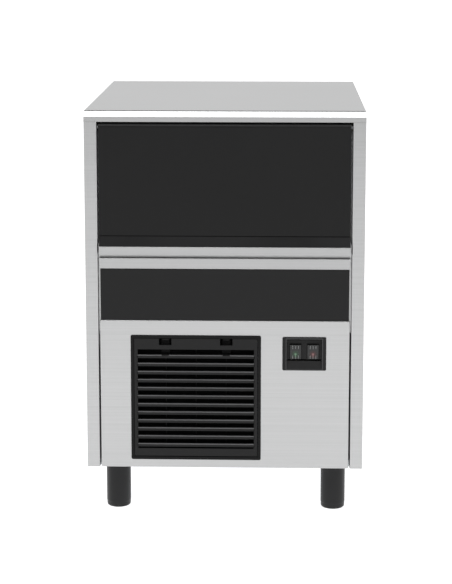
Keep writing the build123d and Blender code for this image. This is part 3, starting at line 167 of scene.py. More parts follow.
class IceMachineStage(bpy.types.PropertyGroup):
    """Floor, light and camera."""

    floor: colour("Floor", "Colour of the floor", (0.93, 0.93, 0.93))
    lens: amount("Lens", "Focal length in millimetres", 110.16)
    eye: FloatVectorProperty(
        name="Eye",
        description="Place of the camera",
        default=(0.0953, -3.4296, 1.0788),
        subtype="TRANSLATION",
    )
    pitch: turn("Pitch", "How far the camera looks down", 0.1592)
    yaw: turn("Yaw", "How far the camera looks to the left", 0.0296)
    rise: amount("Lens shift", "Upward shift of the lens", -0.15)


GROUPS = {
    "ice_steel": IceMachineSteel,
    "ice_plastic": IceMachinePlastic,
    "ice_grille": IceMachineGrille,
    "ice_switches": IceMachineSwitches,
    "ice_legs": IceMachineLegs,
    "ice_stage": IceMachineStage,
}


class Nodes:
    """The nodes of a material or of the surround."""

    def __init__(self, tree):
        self.tree = tree

    def add(self, kind, links=None, **values):
        """Add a node, set its values and link its sockets."""
        node = self.tree.nodes.new(kind)
        for name, value in values.items():
            if name in node.inputs:
                node.inputs[name].default_value = value
            else:
                setattr(node, name, value)
        for name, source in (links or {}).items():
            self.tree.links.new(source, node.inputs[name])
        return node

    def along(self, vector, axis):
        """One coordinate of a vector."""
        return self.add("ShaderNodeSeparateXYZ", {"Vector": vector}).outputs[axis]

    def levels(self, source, low, high, start=0.0, end=1.0):
        """The source, spread from one pair of values to another."""
        values = {"From Min": start, "From Max": end, "To Min": low, "To Max": high}
        return self.add("ShaderNodeMapRange", {"Value": source}, **values).outputs["Result"]

    def product(self, one, two):
        """One value times another."""
        return self.add("ShaderNodeMath", {0: one, 1: two}, operation="MULTIPLY").outputs["Value"]

    def mixed(self, one, two, share):
        """One value with a share of another."""
        links = {"A": one, "B": two}
        return self.add("ShaderNodeMix", links, data_type="FLOAT", Factor=share).outputs["Result"]


class Finish(Nodes):
    """A procedural material under construction."""

    def __init__(self, name, colour, roughness, metallic=0.0, **sockets):
        self.material = bpy.data.materials.new(name)
        self.material.use_nodes = True
        super().__init__(self.material.node_tree)
        self.shader = self.tree.nodes["Principled BSDF"]
        self.set("Base Color", (*colour, 1.0))
        self.set("Roughness", roughness)
        self.set("Metallic", metallic)
        for socket, value in sockets.items():
            self.set(socket.replace("_", " "), value)
        coordinates = self.add("ShaderNodeTexCoord").outputs
        self.place, self.normal = coordinates["Object"], coordinates["Normal"]
        self.bump_end = None

    def set(self, socket, value):
        """Set one of the shader's own sockets."""
        self.shader.inputs[socket].default_value = value

    def drive(self, socket, source):
        """Link a source to one of the shader's sockets."""
        self.tree.links.new(source, self.shader.inputs[socket])

    def stretched(self, scale):
        """The object's own coordinates, stretched along the axes."""
        return self.add("ShaderNodeMapping", {"Vector": self.place}, Scale=scale).outputs["Vector"]

    def noise(self, scale, detail=2.0, stretch=(1.0, 1.0, 1.0), rough=0.5):
        """A noise with a given number of cells in a metre."""
        links = {"Vector": self.stretched(stretch)}
        values = {"Scale": scale, "Detail": detail, "Roughness": rough}
        return self.add("ShaderNodeTexNoise", links, **values).outputs["Fac"]

    def cells(self, scale):
        """The distance in a cell pattern."""
        links = {"Vector": self.stretched((1.0, 1.0, 1.0))}
        return self.add("ShaderNodeTexVoronoi", links, Scale=scale).outputs["Distance"]

    def tint(self, source, dark, light, start=0.3, end=0.7):
        """Drive the base colour between two colours."""
        ramp = self.add("ShaderNodeValToRGB", {"Fac": source})
        ends = zip(ramp.color_ramp.elements, (start, end), (dark, light))
        for element, place, value in ends:
            element.position = place
            element.color = (*value, 1.0)
        self.drive("Base Color", ramp.outputs["Color"])
        return self

    def vary(self, source, low, high, start=0.3, end=0.7):
        """Drive the roughness between two values."""
        self.drive("Roughness", self.levels(source, low, high, start, end))
        return self

    def bump(self, source, height, strength=1.0):
        """Raise the surface by a height in metres where the source is high."""
        links = {"Height": source}
        if self.bump_end is not None:
            links["Normal"] = self.bump_end
        node = self.add("ShaderNodeBump", links, Distance=height, Strength=strength)
        self.bump_end = node.outputs["Normal"]
        self.drive("Normal", self.bump_end)
        return self

    def band(self, axis, low, high, soft=0.2 * MM):
        """1 where a coordinate lies between two values, else 0."""
        value = self.along(self.place, axis)
        return self.product(
            self.levels(value, 0.0, 1.0, low - soft, low + soft),
            self.levels(value, 1.0, 0.0, high - soft, high + soft),
        )

    def shade(self, mask, factor):
        """Multiply the base colour by a factor where the mask is 1, painting shade below 1 and
        light above 1.
        """
        base = self.shader.inputs["Base Color"].links[0].from_socket
        links = {"Vector": base, "Scale": self.levels(mask, 1.0, factor)}
        node = self.add("ShaderNodeVectorMath", links, operation="SCALE")
        self.drive("Base Color", node.outputs["Vector"])
        return self


def scaled(colour, factor):
    """A colour made lighter or darker."""
    return tuple(min(1.0, channel * factor) for channel in colour)


def brushed_steel(name, stretch, lightness=1.0):
    """Finely brushed sheet whose lines lie across the stretched axes."""
    steel = bpy.context.scene.ice_steel
    colour = scaled(steel.colour, lightness)
    finish = Finish(name, colour, steel.roughness, metallic=1.0)
    lines = finish.noise(1.0, detail=3.0, stretch=stretch, rough=0.65)
    wide = tuple(0.16 * value for value in stretch)
    streaks = finish.noise(1.0, stretch=wide, rough=0.6)
    clouds = finish.noise(3.5)
    grain = finish.mixed(finish.mixed(lines, streaks, 0.45), clouds, 0.18)
    finish.tint(grain, scaled(colour, 0.90), scaled(colour, 1.10), 0.32, 0.68)
    finish.vary(grain, steel.roughness - 0.07, steel.roughness + 0.09)
    return finish.bump(lines, 0.02 * MM, strength=0.35)


def brushed_worktop_painted_shade(name, stretch):
    """Brushed cap with a painted shade line along its front fold, and its rail below the nose a
    little darker.
    """
    finish = brushed_steel(name, stretch, lightness=1.111)
    low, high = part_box("worktop")
    beyond = 5 * MM
    fold_depth, fold_height = 6.3 * MM, 1.7 * MM
    rail_depth, nose_height = 1 * MM, 10.9 * MM
    # Painted shade: a dark line along the front fold stands in for the darker reflection in the
    # bend.
    fold_shade = finish.product(
        finish.band("Y", low.y - beyond, low.y + fold_depth),
        finish.band("Z", high.z - fold_height, high.z + beyond),
    )
    rail = finish.product(
        finish.band("Y", low.y - beyond, low.y + rail_depth),
        finish.band("Z", low.z - beyond, high.z - nose_height),
    )
    # Paint the shade line on the fold (0.3) and darken the rail a little (0.91).
    return finish.shade(fold_shade, 0.3).shade(rail, 0.91)


def satin_plastic(name, colour, roughness, grain=1400.0, shine=0.2):
    """Moulded plastic with a fine spark-eroded grain."""
    finish = Finish(name, colour, roughness, Specular_IOR_Level=shine)
    fine = finish.cells(grain)
    wide = finish.noise(9.0, detail=3.0)
    finish.tint(wide, scaled(colour, 0.9), scaled(colour, 1.12))
    finish.vary(wide, roughness - 0.05, roughness + 0.06)
    finish.bump(fine, 0.03 * MM, strength=0.5)
    return finish.bump(finish.noise(60.0), 0.04 * MM, strength=0.15)


def door_crease():
    """Height of the bend above the door's lower lip."""
    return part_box("door_handle")[1].z + 18.8 * MM


def satin_door_painted_light(colour, roughness):
    """Satin sheet of the door, its bent lower lip made lighter with painted light."""
    finish = satin_plastic("satin_door_painted_light", scaled(colour, 0.86), roughness, shine=0.18)
    crease = door_crease()
    # Painted light: the band below the crease is lightened where the flared lip catches more
    # light.
    return finish.shade(finish.band("Z", crease - 60 * MM, crease), 1.8)


def blade_edge_highlight(colour, roughness):
    """Grille plastic with a painted highlight on the upper edges of the blades."""
    finish = satin_plastic("blade_black", colour, roughness, grain=1700.0, shine=0.18)
    upward = finish.along(finish.normal, "Z")
    highlight_slope = finish.product(
        finish.levels(upward, 0.0, 1.0, 0.25, 0.45), finish.levels(upward, 1.0, 0.0, 0.88, 0.96)
    )
    # Painted highlight: faces sloping upwards are lightened where they would catch the light from
    # above.
    return finish.shade(highlight_slope, 13.0)


def bezel_bead_highlight(colour, roughness):
    """Grille plastic with a painted highlight on the bead round the pocket."""
    finish = satin_plastic("bezel_black", colour, roughness, grain=1700.0)
    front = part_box("switch_bezel")[0].y
    bead = finish.band("Y", front - 2 * MM, front - 0.1 * MM, soft=0.05 * MM)
    # Painted highlight: the bead that stands proud of the flange is lightened.
    return finish.shade(bead, 5.5)


def zinc_sheet():
    """Zinc-coated sheet with a faint spangle."""
    base = bpy.context.scene.ice_steel.zinc
    finish = Finish("zinc_sheet", base, 0.42, metallic=0.9)
    spangle = finish.add("ShaderNodeTexVoronoi", {"Vector": finish.place}, Scale=85.0)
    split = finish.add("ShaderNodeSeparateColor", {"Color": spangle.outputs["Color"]})
    grey = split.outputs["Red"]
    finish.tint(grey, scaled(base, 0.86), scaled(base, 1.1), 0.0, 1.0)
    finish.vary(grey, 0.34, 0.5, 0.0, 1.0)
    return finish.bump(finish.noise(260.0, detail=3.0), 0.03 * MM, strength=0.3)


def liner_plastic():
    """Pale food-grade plastic with a soft sheen."""
    base = bpy.context.scene.ice_plastic.pale
    finish = Finish("liner_plastic", base, 0.28, Coat_Weight=0.15)
    wide = finish.noise(7.0, detail=3.0)
    finish.tint(wide, scaled(base, 0.95), scaled(base, 1.04))
    finish.vary(finish.noise(40.0, detail=3.0), 0.22, 0.36)
    return finish.bump(finish.noise(140.0), 0.06 * MM, strength=0.06)


def foam_block():
    """Cut insulating foam with open cells."""
    base = (0.74, 0.66, 0.42)
    finish = Finish("foam_block", base, 0.9, Sheen_Weight=0.2)
    cells = finish.cells(520.0)
    finish.tint(cells, scaled(base, 0.7), scaled(base, 1.1), 0.0, 0.8)
    return finish.bump(cells, 0.4 * MM, strength=0.8)


def copper_tube():
    """Drawn copper, browned where it was soldered."""
    finish = Finish("copper_tube", (0.80, 0.42, 0.27), 0.28, metallic=1.0)
    patches = finish.noise(22.0, detail=4.0)
    finish.tint(patches, (0.34, 0.15, 0.09), (0.83, 0.45, 0.30), 0.34, 0.56)
    finish.vary(patches, 0.5, 0.22, 0.34, 0.6)
    return finish.bump(finish.noise(900.0), 0.02 * MM, strength=0.3)


def mill_metal(name, colour, roughness, lines):
    """Bare metal with the marks of its making."""
    finish = Finish(name, colour, roughness, metallic=1.0)
    marks = finish.noise(1.0, detail=3.0, stretch=lines)
    finish.tint(marks, scaled(colour, 0.85), scaled(colour, 1.08))
    finish.vary(marks, roughness - 0.08, roughness + 0.1)
    return finish.bump(marks, 0.03 * MM, strength=0.4)


def gloss_paint():
    """Baked black paint with a slight orange peel."""
    finish = Finish("gloss_paint", (0.012, 0.012, 0.013), 0.22, Coat_Weight=0.6)
    finish.vary(finish.noise(12.0, detail=3.0), 0.18, 0.34)
    return finish.bump(finish.noise(320.0), 0.1 * MM, strength=0.4)


def black_rubber():
    """Matte rubber with a dusty bloom."""
    finish = Finish("black_rubber", (0.014, 0.014, 0.014), 0.8)
    bloom = finish.noise(70.0, detail=4.0)
    finish.tint(bloom, (0.009, 0.009, 0.009), (0.026, 0.026, 0.025))
    return finish.bump(finish.cells(1100.0), 0.06 * MM, strength=0.6)


def milky_sheet():
    """Flexible translucent plastic of the splash curtain."""
    clear = {"Transmission_Weight": 0.35, "IOR": 1.45}
    finish = Finish("milky_sheet", (0.70, 0.74, 0.78), 0.3, **clear)
    finish.tint(finish.noise(18.0), (0.62, 0.67, 0.72), (0.76, 0.79, 0.82))
    return finish.bump(finish.noise(90.0), 0.1 * MM, strength=0.3)


def lit_rocker(name, glow, lamp, smoke, painted_halo):
    """Smoked plastic with a small lamp behind its lower half and a faint halo of its light painted
    round it.
    """
    finish = Finish(name, smoke, 0.26, Coat_Weight=0.1, Specular_IOR_Level=0.33)
    away = finish.add("ShaderNodeVectorMath", {0: finish.place}, operation="DISTANCE")
    away.inputs[1].default_value = lamp
    distance = away.outputs["Value"]
    # Painted light: the lamp's glow is painted into the base colour as a tinted ring.
    ring = tuple(0.7 * grey + painted_halo * channel for grey, channel in zip(smoke, glow))
    finish.tint(distance, ring, smoke, 2.6 * MM, 6.5 * MM)
    finish.set("Emission Color", (*(0.42 + 0.58 * channel for channel in glow), 1.0))
    finish.drive("Emission Strength", finish.levels(distance, 0.36, 0.0, 0.6 * MM, 3.0 * MM))
    return finish.bump(finish.noise(900.0), 0.03 * MM, strength=0.3)


def finish_makers():
    """How each finish is made, by the name of its slot or piece."""
    steel, plastic = bpy.context.scene.ice_steel, bpy.context.scene.ice_plastic
    across = (1.2, 1.2, steel.lines)
    along = (1.2, steel.lines, 0.45 * steel.lines)
    black, grille, soft = plastic.black, plastic.grille, plastic.roughness
    satin = satin_plastic
    return {
        "stainless": lambda: brushed_steel("brushed_steel", across),
        "trim": lambda: brushed_steel("brushed_trim", across, lightness=0.93),
        "worktop": lambda: brushed_worktop_painted_shade("brushed_worktop_painted_shade", along),
        "zinc_steel": zinc_sheet,
        "black_plastic": lambda: satin("satin_black", black, soft),
        "grille": lambda: satin("grille_black", grille, 0.42, grain=1700.0),
        "blade": lambda: blade_edge_highlight(grille, 0.36),
        "bezel": lambda: bezel_bead_highlight(grille, 0.42),
        "door": lambda: satin_door_painted_light(black, soft),
        # Near-black finish of the painted shadow strip along the door's bend.
        "groove": lambda: satin("crease_shadow_black", (0.003, 0.003, 0.003), 0.9, shine=0.08),
        "frame": lambda: satin("frame_black", scaled(grille, 0.7), 0.42, 1700.0, shine=0.12),
        # Painted shade: a far darker copy of the grille plastic for the ribs and latches that sit
        # back behind the face.
        "rib": lambda: satin("rib_painted_shade", (0.0012, 0.0012, 0.0012), 0.8),
        "leg": lambda: satin("leg_black", plastic.leg, 0.38, shine=0.24),
        "pale_plastic": liner_plastic,
        "foam": foam_block,
        "filter": lambda: satin("filter_thread", (0.0015, 0.0015, 0.0015), 0.85),
        "copper": copper_tube,
        "aluminium": lambda: mill_metal(
            "mill_aluminium", (0.74, 0.75, 0.76), 0.3, (30.0, 30.0, 700.0)
        ),
        "nickel_plate": lambda: mill_metal(
            "tinned_plate", (0.72, 0.71, 0.68), 0.24, (90.0, 90.0, 90.0)
        ),
        "brass": lambda: mill_metal(
            "turned_brass", (0.72, 0.55, 0.27), 0.26, (60.0, 60.0, 600.0)
        ),
        "black_paint": gloss_paint,
        "rubber": black_rubber,
        "curtain": milky_sheet,
    }


FINISHES = {}


def finish_of(name):
    """The material of a finish, made on first use."""
    if name not in FINISHES:
        FINISHES[name] = finish_makers()[name]().material
    return FINISHES[name]


def dress(*nodes, finish=None):
    """Give nodes of the frame a finish, or that of their own slot."""
    for node in nodes:
        obj = frame["nodes"][node]
        material = finish_of(finish or SLOT_OF[node])
        if not obj.material_slots:
            obj.data.materials.append(material)
        for material_slot in obj.material_slots:
            material_slot.material = material


def piece(name, source, body, material, stands_for=(), sharp=32.0):
    """Make one object from a bmesh, place it on its body and hide the parts it stands for."""
    mesh = bpy.data.meshes.new(name)
    source.normal_update()
    source.to_mesh(mesh)
    source.free()
    if not mesh.polygons:
        raise RuntimeError(f"{name} has no faces")
    mesh.shade_smooth()
    mesh.set_sharp_from_angle(angle=math.radians(sharp))
    mesh.materials.append(material)
    obj = bpy.data.objects.new(name, mesh)
    bpy.context.scene.collection.objects.link(obj)
    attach(obj, body)
    if stands_for:
        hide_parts(*stands_for)
    return obj


def face_outwards(mesh):
    """Turn every face of a bmesh outwards."""
    bmesh.ops.recalc_face_normals(mesh, faces=mesh.faces)


def round_edges(mesh, edges, radius, steps):
    """Round some edges of a bmesh."""
    bmesh.ops.bevel(
        mesh, geom=edges, offset=radius, segments=steps, profile=0.5, affect="EDGES"
    )


def span(centre, half):
    """The two ends of a stretch about its middle."""
    return centre - half, centre + half


def circle(steps):
    """Cosine and sine at equal steps round a circle."""
    angles = [2 * math.pi * step / steps for step in range(steps)]
    return [(math.cos(angle), math.sin(angle)) for angle in angles]


def arc_corner(before, corner, after, radius, steps):
    """Points that round one corner of a flat outline."""
    corner = Vector(corner)
    one = (Vector(before) - corner).normalized()
    two = (Vector(after) - corner).normalized()
    half = one.angle(two) / 2
    reach = radius / math.tan(half)
    middle = corner + (one + two).normalized() * (radius / math.sin(half))
    start, end = corner + one * reach - middle, corner + two * reach - middle
    whole = start.angle_signed(end)
    points = []
    for step in range(steps + 1):
        angle = -whole * step / steps
        cosine, sine = math.cos(angle), math.sin(angle)
        points.append((
            middle.x + start.x * cosine - start.y * sine,
            middle.y + start.x * sine + start.y * cosine,
        ))
    return points


def rounded(points, radii, steps=4):
    """A closed outline with its corners rounded; a radius of 0 keeps a corner."""
    if not isinstance(radii, (list, tuple)):
        radii = [radii] * len(points)
    outline = []
    for place, (point, radius) in enumerate(zip(points, radii)):
        if radius:
            after = points[(place + 1) % len(points)]
            outline += arc_corner(points[place - 1], point, after, radius, steps)
        else:
            outline.append(tuple(point))
    return outline


def loft(mesh, loops, closed=False):
    """Join loops of points in turn; the last meets the first, or both ends are capped."""
    rings = [[mesh.verts.new(point) for point in loop] for loop in loops]
    following = rings[1:] + (rings[:1] if closed else [])
    for one, two in zip(rings, following):
        for k, after in enumerate([*range(1, len(one)), 0]):
            mesh.faces.new((one[k], one[after], two[after], two[k]))
    if not closed:
        mesh.faces.new(rings[0][::-1])
        mesh.faces.new(rings[-1])


def bar(mesh, outline, to_point, low, high):
    """Add a bar: an outline carried from one value to another by to_point(a, b, t)."""
    loft(mesh, [[to_point(a, b, t) for a, b in outline] for t in (low, high)])


def bar_x(mesh, outline, low, high):
    """Add a bar along X from a Y, Z outline."""
    bar(mesh, outline, lambda a, b, t: (t, a, b), low, high)


def pin_x(mesh, start, side, reach, radius, steps=20):
    """Add a round pin along X with a chamfered end."""
    x, y, z = start
    ends = ((0.0, radius), (reach - SMALL_EDGE, radius), (reach, radius - SMALL_EDGE))
    loft(mesh, [
        [(x + side * away, y + size * cosine, z + size * sine) for cosine, sine in circle(steps)]
        for away, size in ends
    ])
    face_outwards(mesh)


def lathe(mesh, profile, centre, steps=72):
    """Add a turned shape from radius and height pairs."""
    x, y, z = centre
    loft(mesh, [
        [(x + radius * cosine, y + radius * sine, z + height) for cosine, sine in circle(steps)]
        for radius, height in profile
    ])


def soft_block(mesh, low, high, radius=SMALL_EDGE):
    """Add a block with rounded edges."""
    verts = bmesh.ops.create_cube(mesh, size=1.0)["verts"]
    for vert in verts:
        for axis in range(3):
            vert.co[axis] = low[axis] if vert.co[axis] < 0 else high[axis]
    edges = list({edge for vert in verts for edge in vert.link_edges})
    round_edges(mesh, edges + verts, radius, 2)


def pierced_plate(mesh, columns, rows, is_open, front, back, edge):
    """Add a plate that faces the front, a grid of cells some of which are open."""
    points = {}

    def corner(column, row, y):
        key = (column, row, y)
        if key not in points:
            points[key] = mesh.verts.new((columns[column], y, rows[row]))
        return points[key]

    def filled(column, row):
        if not (0 <= column < len(columns) - 1 and 0 <= row < len(rows) - 1):
            return False
        x, z = columns[column] + columns[column + 1], rows[row] + rows[row + 1]
        return not is_open(x / 2, z / 2)

    for column in range(len(columns) - 1):
        for row in range(len(rows) - 1):
            if not filled(column, row):
                continue
            ring = [(column, row), (column + 1, row), (column + 1, row + 1), (column, row + 1)]
            beside = [(column, row - 1), (column + 1, row), (column, row + 1), (column - 1, row)]
            mesh.faces.new([corner(*place, front) for place in ring])
            mesh.faces.new([corner(*place, back) for place in reversed(ring)])
            for one, two, neighbour in zip(ring, ring[1:] + ring[:1], beside):
                if not filled(*neighbour):
                    wall = ((two, front), (one, front), (one, back), (two, back))
                    mesh.faces.new([corner(*place, y) for place, y in wall])
    edges = {link for vert in points.values() for link in vert.link_edges}
    round_edges(mesh, [link for link in edges if link.calc_face_angle(0.0) > 1.0], edge, 2)


def shrunk(corners, margin):
    """The limits of a rectangle, moved inwards."""
    x0, x1, z0, z1 = corners
    return x0 + margin, x1 - margin, z0 + margin, z1 - margin


def front_loop(corners, radius, y):
    """A rounded rectangle that faces the front."""
    x0, x1, z0, z1 = corners
    outline = rounded([(x0, z0), (x1, z0), (x1, z1), (x0, z1)], radius, 5)
    return [(x, y, z) for x, z in outline]


class MachineOperator(bpy.types.Operator):
    """Builds a part of the ice machine."""

    bl_options = {"REGISTER", "UNDO"}

    def build(self, scene):
        """Make the pieces."""
        raise NotImplementedError

    def execute(self, context):
        """Run the build and pass any error on."""
        self.build(context.scene)
        return {"FINISHED"}


class ICEMACHINE_OT_cabinet(MachineOperator):
    """Brushed steel of the cabinet and the zinc-coated sheets behind it"""

    bl_idname = "icemachine.cabinet"
    bl_label = "Cabinet"

    def build(self, scene):
        dress("worktop", finish="worktop")
        dress("trim_band", finish="trim")
        dress("side_panel_left", "side_panel_right", "front_panel", "sill_rail")
        dress("rear_panel", "base_tray", "bin_rails", "motor_bracket", "fan_shroud", "drier_clip")
        dress("lid_insulation", "bin_insulation", "compressor_grommets")


class ICEMACHINE_OT_door(MachineOperator):
    """Black door, its steel pull strip, liner and hinge pins"""

    bl_idname = "icemachine.door"
    bl_label = "Door"

    def build(self, scene):
        dress("door_liner", "door_pins", "fascia_strip")
        dress("door_handle", finish="trim")
        dress("door_panel", finish="door")
        dress("door_bushes", finish="black_plastic")
        self.fold_shade()

    @staticmethod
    def fold_shade():
        """A thin near-black strip of painted shadow along the bend above the lower lip."""
        low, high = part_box("door_panel")
        crease = door_crease()
        face = low.y + 5 * MM
        inside = face + 0.5 * MM
        reach, skin, lean = 0.8 * MM, 0.06 * MM, 0.266
        outline = [
            (face - skin, crease + reach),
            (face - skin, crease),
            (face - skin - lean * reach, crease - reach),
            (inside, crease - reach),
            (inside, crease + reach),
        ]
        mesh = bmesh.new()
        bar_x(mesh, outline, low.x + 0.5 * MM, high.x - 0.5 * MM)
        face_outwards(mesh)
        # The strip is painted shadow: it stands for the shade in the crease, not a part.
        piece("door_fold_shadow", mesh, "door", finish_of("groove"))


class ICEMACHINE_OT_grille(MachineOperator):
    """Louvred air intake with its ribs, notches, latches and filter mesh"""

    bl_idname = "icemachine.grille"
    bl_label = "Air grille"

    def build(self, scene):
        size = scene.ice_grille
        dress("grille_frame", finish="frame")
        self.low, self.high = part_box("grille_insert")
        self.middle = (self.low.x + self.high.x) / 2
        self.half = 111.2 * MM
        self.blade_back = self.low.y + size.blade_depth
        self.window = span(self.middle, size.slot_width / 2)
        mesh = bmesh.new()
        self.plate(mesh, size)
        self.blades(size)
        self.ribs(size)
        self.latches(mesh, size)
        pin_start, pin_length, pin_radius = 1 * MM, 3.3 * MM, 1.6 * MM
        hinge_y, hinge_z = self.hinge()
        for side in BOTH_SIDES:
            x = self.middle + side * (self.half - pin_start)
            pin_x(mesh, (x, hinge_y, hinge_z), side, pin_length, pin_radius)
        self.add("grille_louvres", mesh, "grille", ("grille_insert",))
        self.filter_mesh(size)

    @staticmethod
    def add(name, mesh, finish, stands_for=(), slot_name="black_plastic"):
        """Make a piece of the insert."""
        piece(name, mesh, "grille_insert", finish_of(finish), stands_for)

    def hinge(self):
        """Y and Z of the insert's hinge line."""
        inset = 2.6 * MM
        return self.low.y + inset, self.low.z + inset

    def plate(self, mesh, size):
        """The face with its window and notches, and the walls behind it."""
        low, high = self.low, self.high
        outer = span(self.middle, self.half)
        notches = [
            span(self.middle + side * size.notch_offset, size.notch_width / 2)
            for side in BOTH_SIDES
        ]
        notch_low = high.z - size.notch_height
        columns = sorted([*outer, *self.window, *notches[0], *notches[1]])
        rows = [low.z, size.slot_bottom, size.slot_top, notch_low, high.z]

        def is_open(x, z):
            in_window = size.slot_bottom < z < size.slot_top
            in_window = in_window and self.window[0] < x < self.window[1]
            return in_window or (z > notch_low and any(one < x < two for one, two in notches))

        plate_back = low.y + size.plate
        pierced_plate(mesh, columns, rows, is_open, low.y, plate_back, 0.6 * MM)
        self.round_foot(mesh)
        start = plate_back - 0.5 * MM
        for x0, x1 in ((outer[0], outer[0] + size.rim), (outer[1] - size.rim, outer[1])):
            soft_block(mesh, (x0, start, low.z + 1 * MM), (x1, high.y, high.z - 1 * MM))
        foot_front, foot_back = low.y + 4 * MM, high.y - 3 * MM
        soft_block(
            mesh, (outer[0], foot_front, low.z), (outer[1], foot_back, low.z + size.rim)
        )
        for x0, x1 in zip((outer[0], notches[0][1], notches[1][1]),
                          (notches[0][0], notches[1][0], outer[1])):
            soft_block(mesh, (x0, start, high.z - size.rim), (x1, high.y, high.z))

    def round_foot(self, mesh):
        """Round the face's lower front edge about the hinge, to clear the frame as it tips."""
        hinge_y, hinge_z = self.hinge()
        swing = 3.15 * MM
        for vert in mesh.verts:
            y, z = vert.co.y - hinge_y, vert.co.z - hinge_z
            away = math.hypot(y, z)
            if y < 0 and z < 0 and away > swing:
                vert.co.y = hinge_y + y * swing / away
                vert.co.z = hinge_z + z * swing / away

    def blades(self, size):
        """Louvre blades with a chamfered upper front edge."""
        mesh = bmesh.new()
        front, back = self.low.y, self.blade_back
        chamfer_height, chamfer_depth, overlap = 1.7 * MM, 1.5 * MM, 1 * MM
        radii = [0.7 * MM, 0.5 * MM, 0.6 * MM, 0.5 * MM, 0.5 * MM]
        for row in range(size.blades):
            under, top = span(size.first - row * size.pitch, size.blade_height / 2)
            outline = [
                (front, under),
                (front, top - chamfer_height),
                (front + chamfer_depth, top),
                (back, top),
                (back, under),
            ]
            ends = self.window[0] - overlap, self.window[1] + overlap
            bar_x(mesh, rounded(outline, radii), *ends)
        self.add("grille_blades", mesh, "blade")

    def ribs(self, size):
        """Thin upright ribs behind the blades, darkened with painted shade."""
        mesh = bmesh.new()
        low, high = self.low, self.high
        for place in (-1, 0, 1):
            x0, x1 = span(self.middle + place * size.rib_pitch, 0.9 * MM)
            start = (x0, self.blade_back - 0.5 * MM, low.z + 1 * MM)
            soft_block(mesh, start, (x1, high.y - 3 * MM, high.z - 1 * MM), 0.3 * MM)
        self.add("grille_ribs", mesh, "rib")

    def latches(self, plate, size):
        """Latch tongues, the tabs below them, and a ridge in each notch of the plate."""
        mesh = bmesh.new()
        front, top = self.low.y, self.high.z
        tongue_front, tongue_back = span(self.blade_back, 1 * MM)
        blade_top = size.first + size.blade_height / 2
        tab_front, tab_back = front + 0.1 * MM, front + 2.5 * MM
        ridge_front, ridge_back = self.blade_back - 1.6 * MM, self.blade_back - 0.8 * MM
        ridge_low, ridge_high = span(top - 3.2 * MM, 1 * MM)
        tongue = [
            (tongue_front, size.first),
            (tongue_back, size.first),
            (tongue_back, top),
            (tongue_front, top),
        ]
        tab = [
            (tab_front, blade_top - 1.9 * MM),
            (tab_back, blade_top - 1.9 * MM),
            (tab_back, blade_top + 1.0 * MM),
            (tab_front, blade_top + 0.4 * MM),
        ]
        for side in BOTH_SIDES:
            x0, x1 = span(self.middle + side * size.notch_offset, size.latch_width / 2)
            bar_x(mesh, rounded(tongue, 0.4 * MM, 2), x0, x1)
            bar_x(mesh, rounded(tab, 0.3 * MM, 2), x0 + 1 * MM, x1 - 1 * MM)
            soft_block(
                plate,
                (x0 + 1.5 * MM, ridge_front, ridge_low),
                (x1 - 1.5 * MM, ridge_back, ridge_high),
                0.3 * MM,
            )
        face_outwards(mesh)
        # The tongues and tabs take the near-black rib finish: painted shade, also for the shadow
        # they throw on the first blade.
        self.add("grille_latches", mesh, "rib")

    def filter_mesh(self, size):
        """Woven threads in a thin frame, over a dark backing."""
        low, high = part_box("air_filter")
        mesh = bmesh.new()
        rim, lap, inset = 4 * MM, 3.4 * MM, 3 * MM
        for x0, x1, z0, z1 in (
            (low.x, low.x + rim, low.z, high.z),
            (high.x - rim, high.x, low.z, high.z),
            (low.x + lap, high.x - lap, low.z, low.z + rim),
            (low.x + lap, high.x - lap, high.z - rim, high.z),
        ):
            soft_block(mesh, (x0, low.y, z0), (x1, high.y, z1))
        depth = (low.y + high.y) / 2
        behind, before = depth + 0.2 * MM, depth - 0.2 * MM
        first = 3.6 * MM + 0.5 * size.mesh_pitch
        x0, x1, z0, z1 = shrunk((low.x, high.x, low.z, high.z), inset)
        for k in range(int((high.x - low.x - 2 * inset) / size.mesh_pitch)):
            x = low.x + first + k * size.mesh_pitch
            self.thread(mesh, (x, behind, z0), (x, behind, z1))
        for k in range(int((high.z - low.z - 2 * inset) / size.mesh_pitch)):
            z = low.z + first + k * size.mesh_pitch
            self.thread(mesh, (x0, before, z), (x1, before, z))
        soft_block(mesh, (x0, depth + 0.7 * MM, z0), (x1, high.y - 0.1 * MM, z1), 0.3 * MM)
        self.add("filter_weave", mesh, "filter", ("air_filter",), "foam")

    @staticmethod
    def thread(mesh, start, end, radius=0.35 * MM):
        """One thread of the weave, six-sided."""
        start, end = Vector(start), Vector(end)
        side = Vector((0, 1, 0))
        other = (end - start).normalized().cross(side)
        ring = [radius * (side * cosine + other * sine) for cosine, sine in circle(6)]
        loft(mesh, [[point + offset for offset in ring] for point in (start, end)])


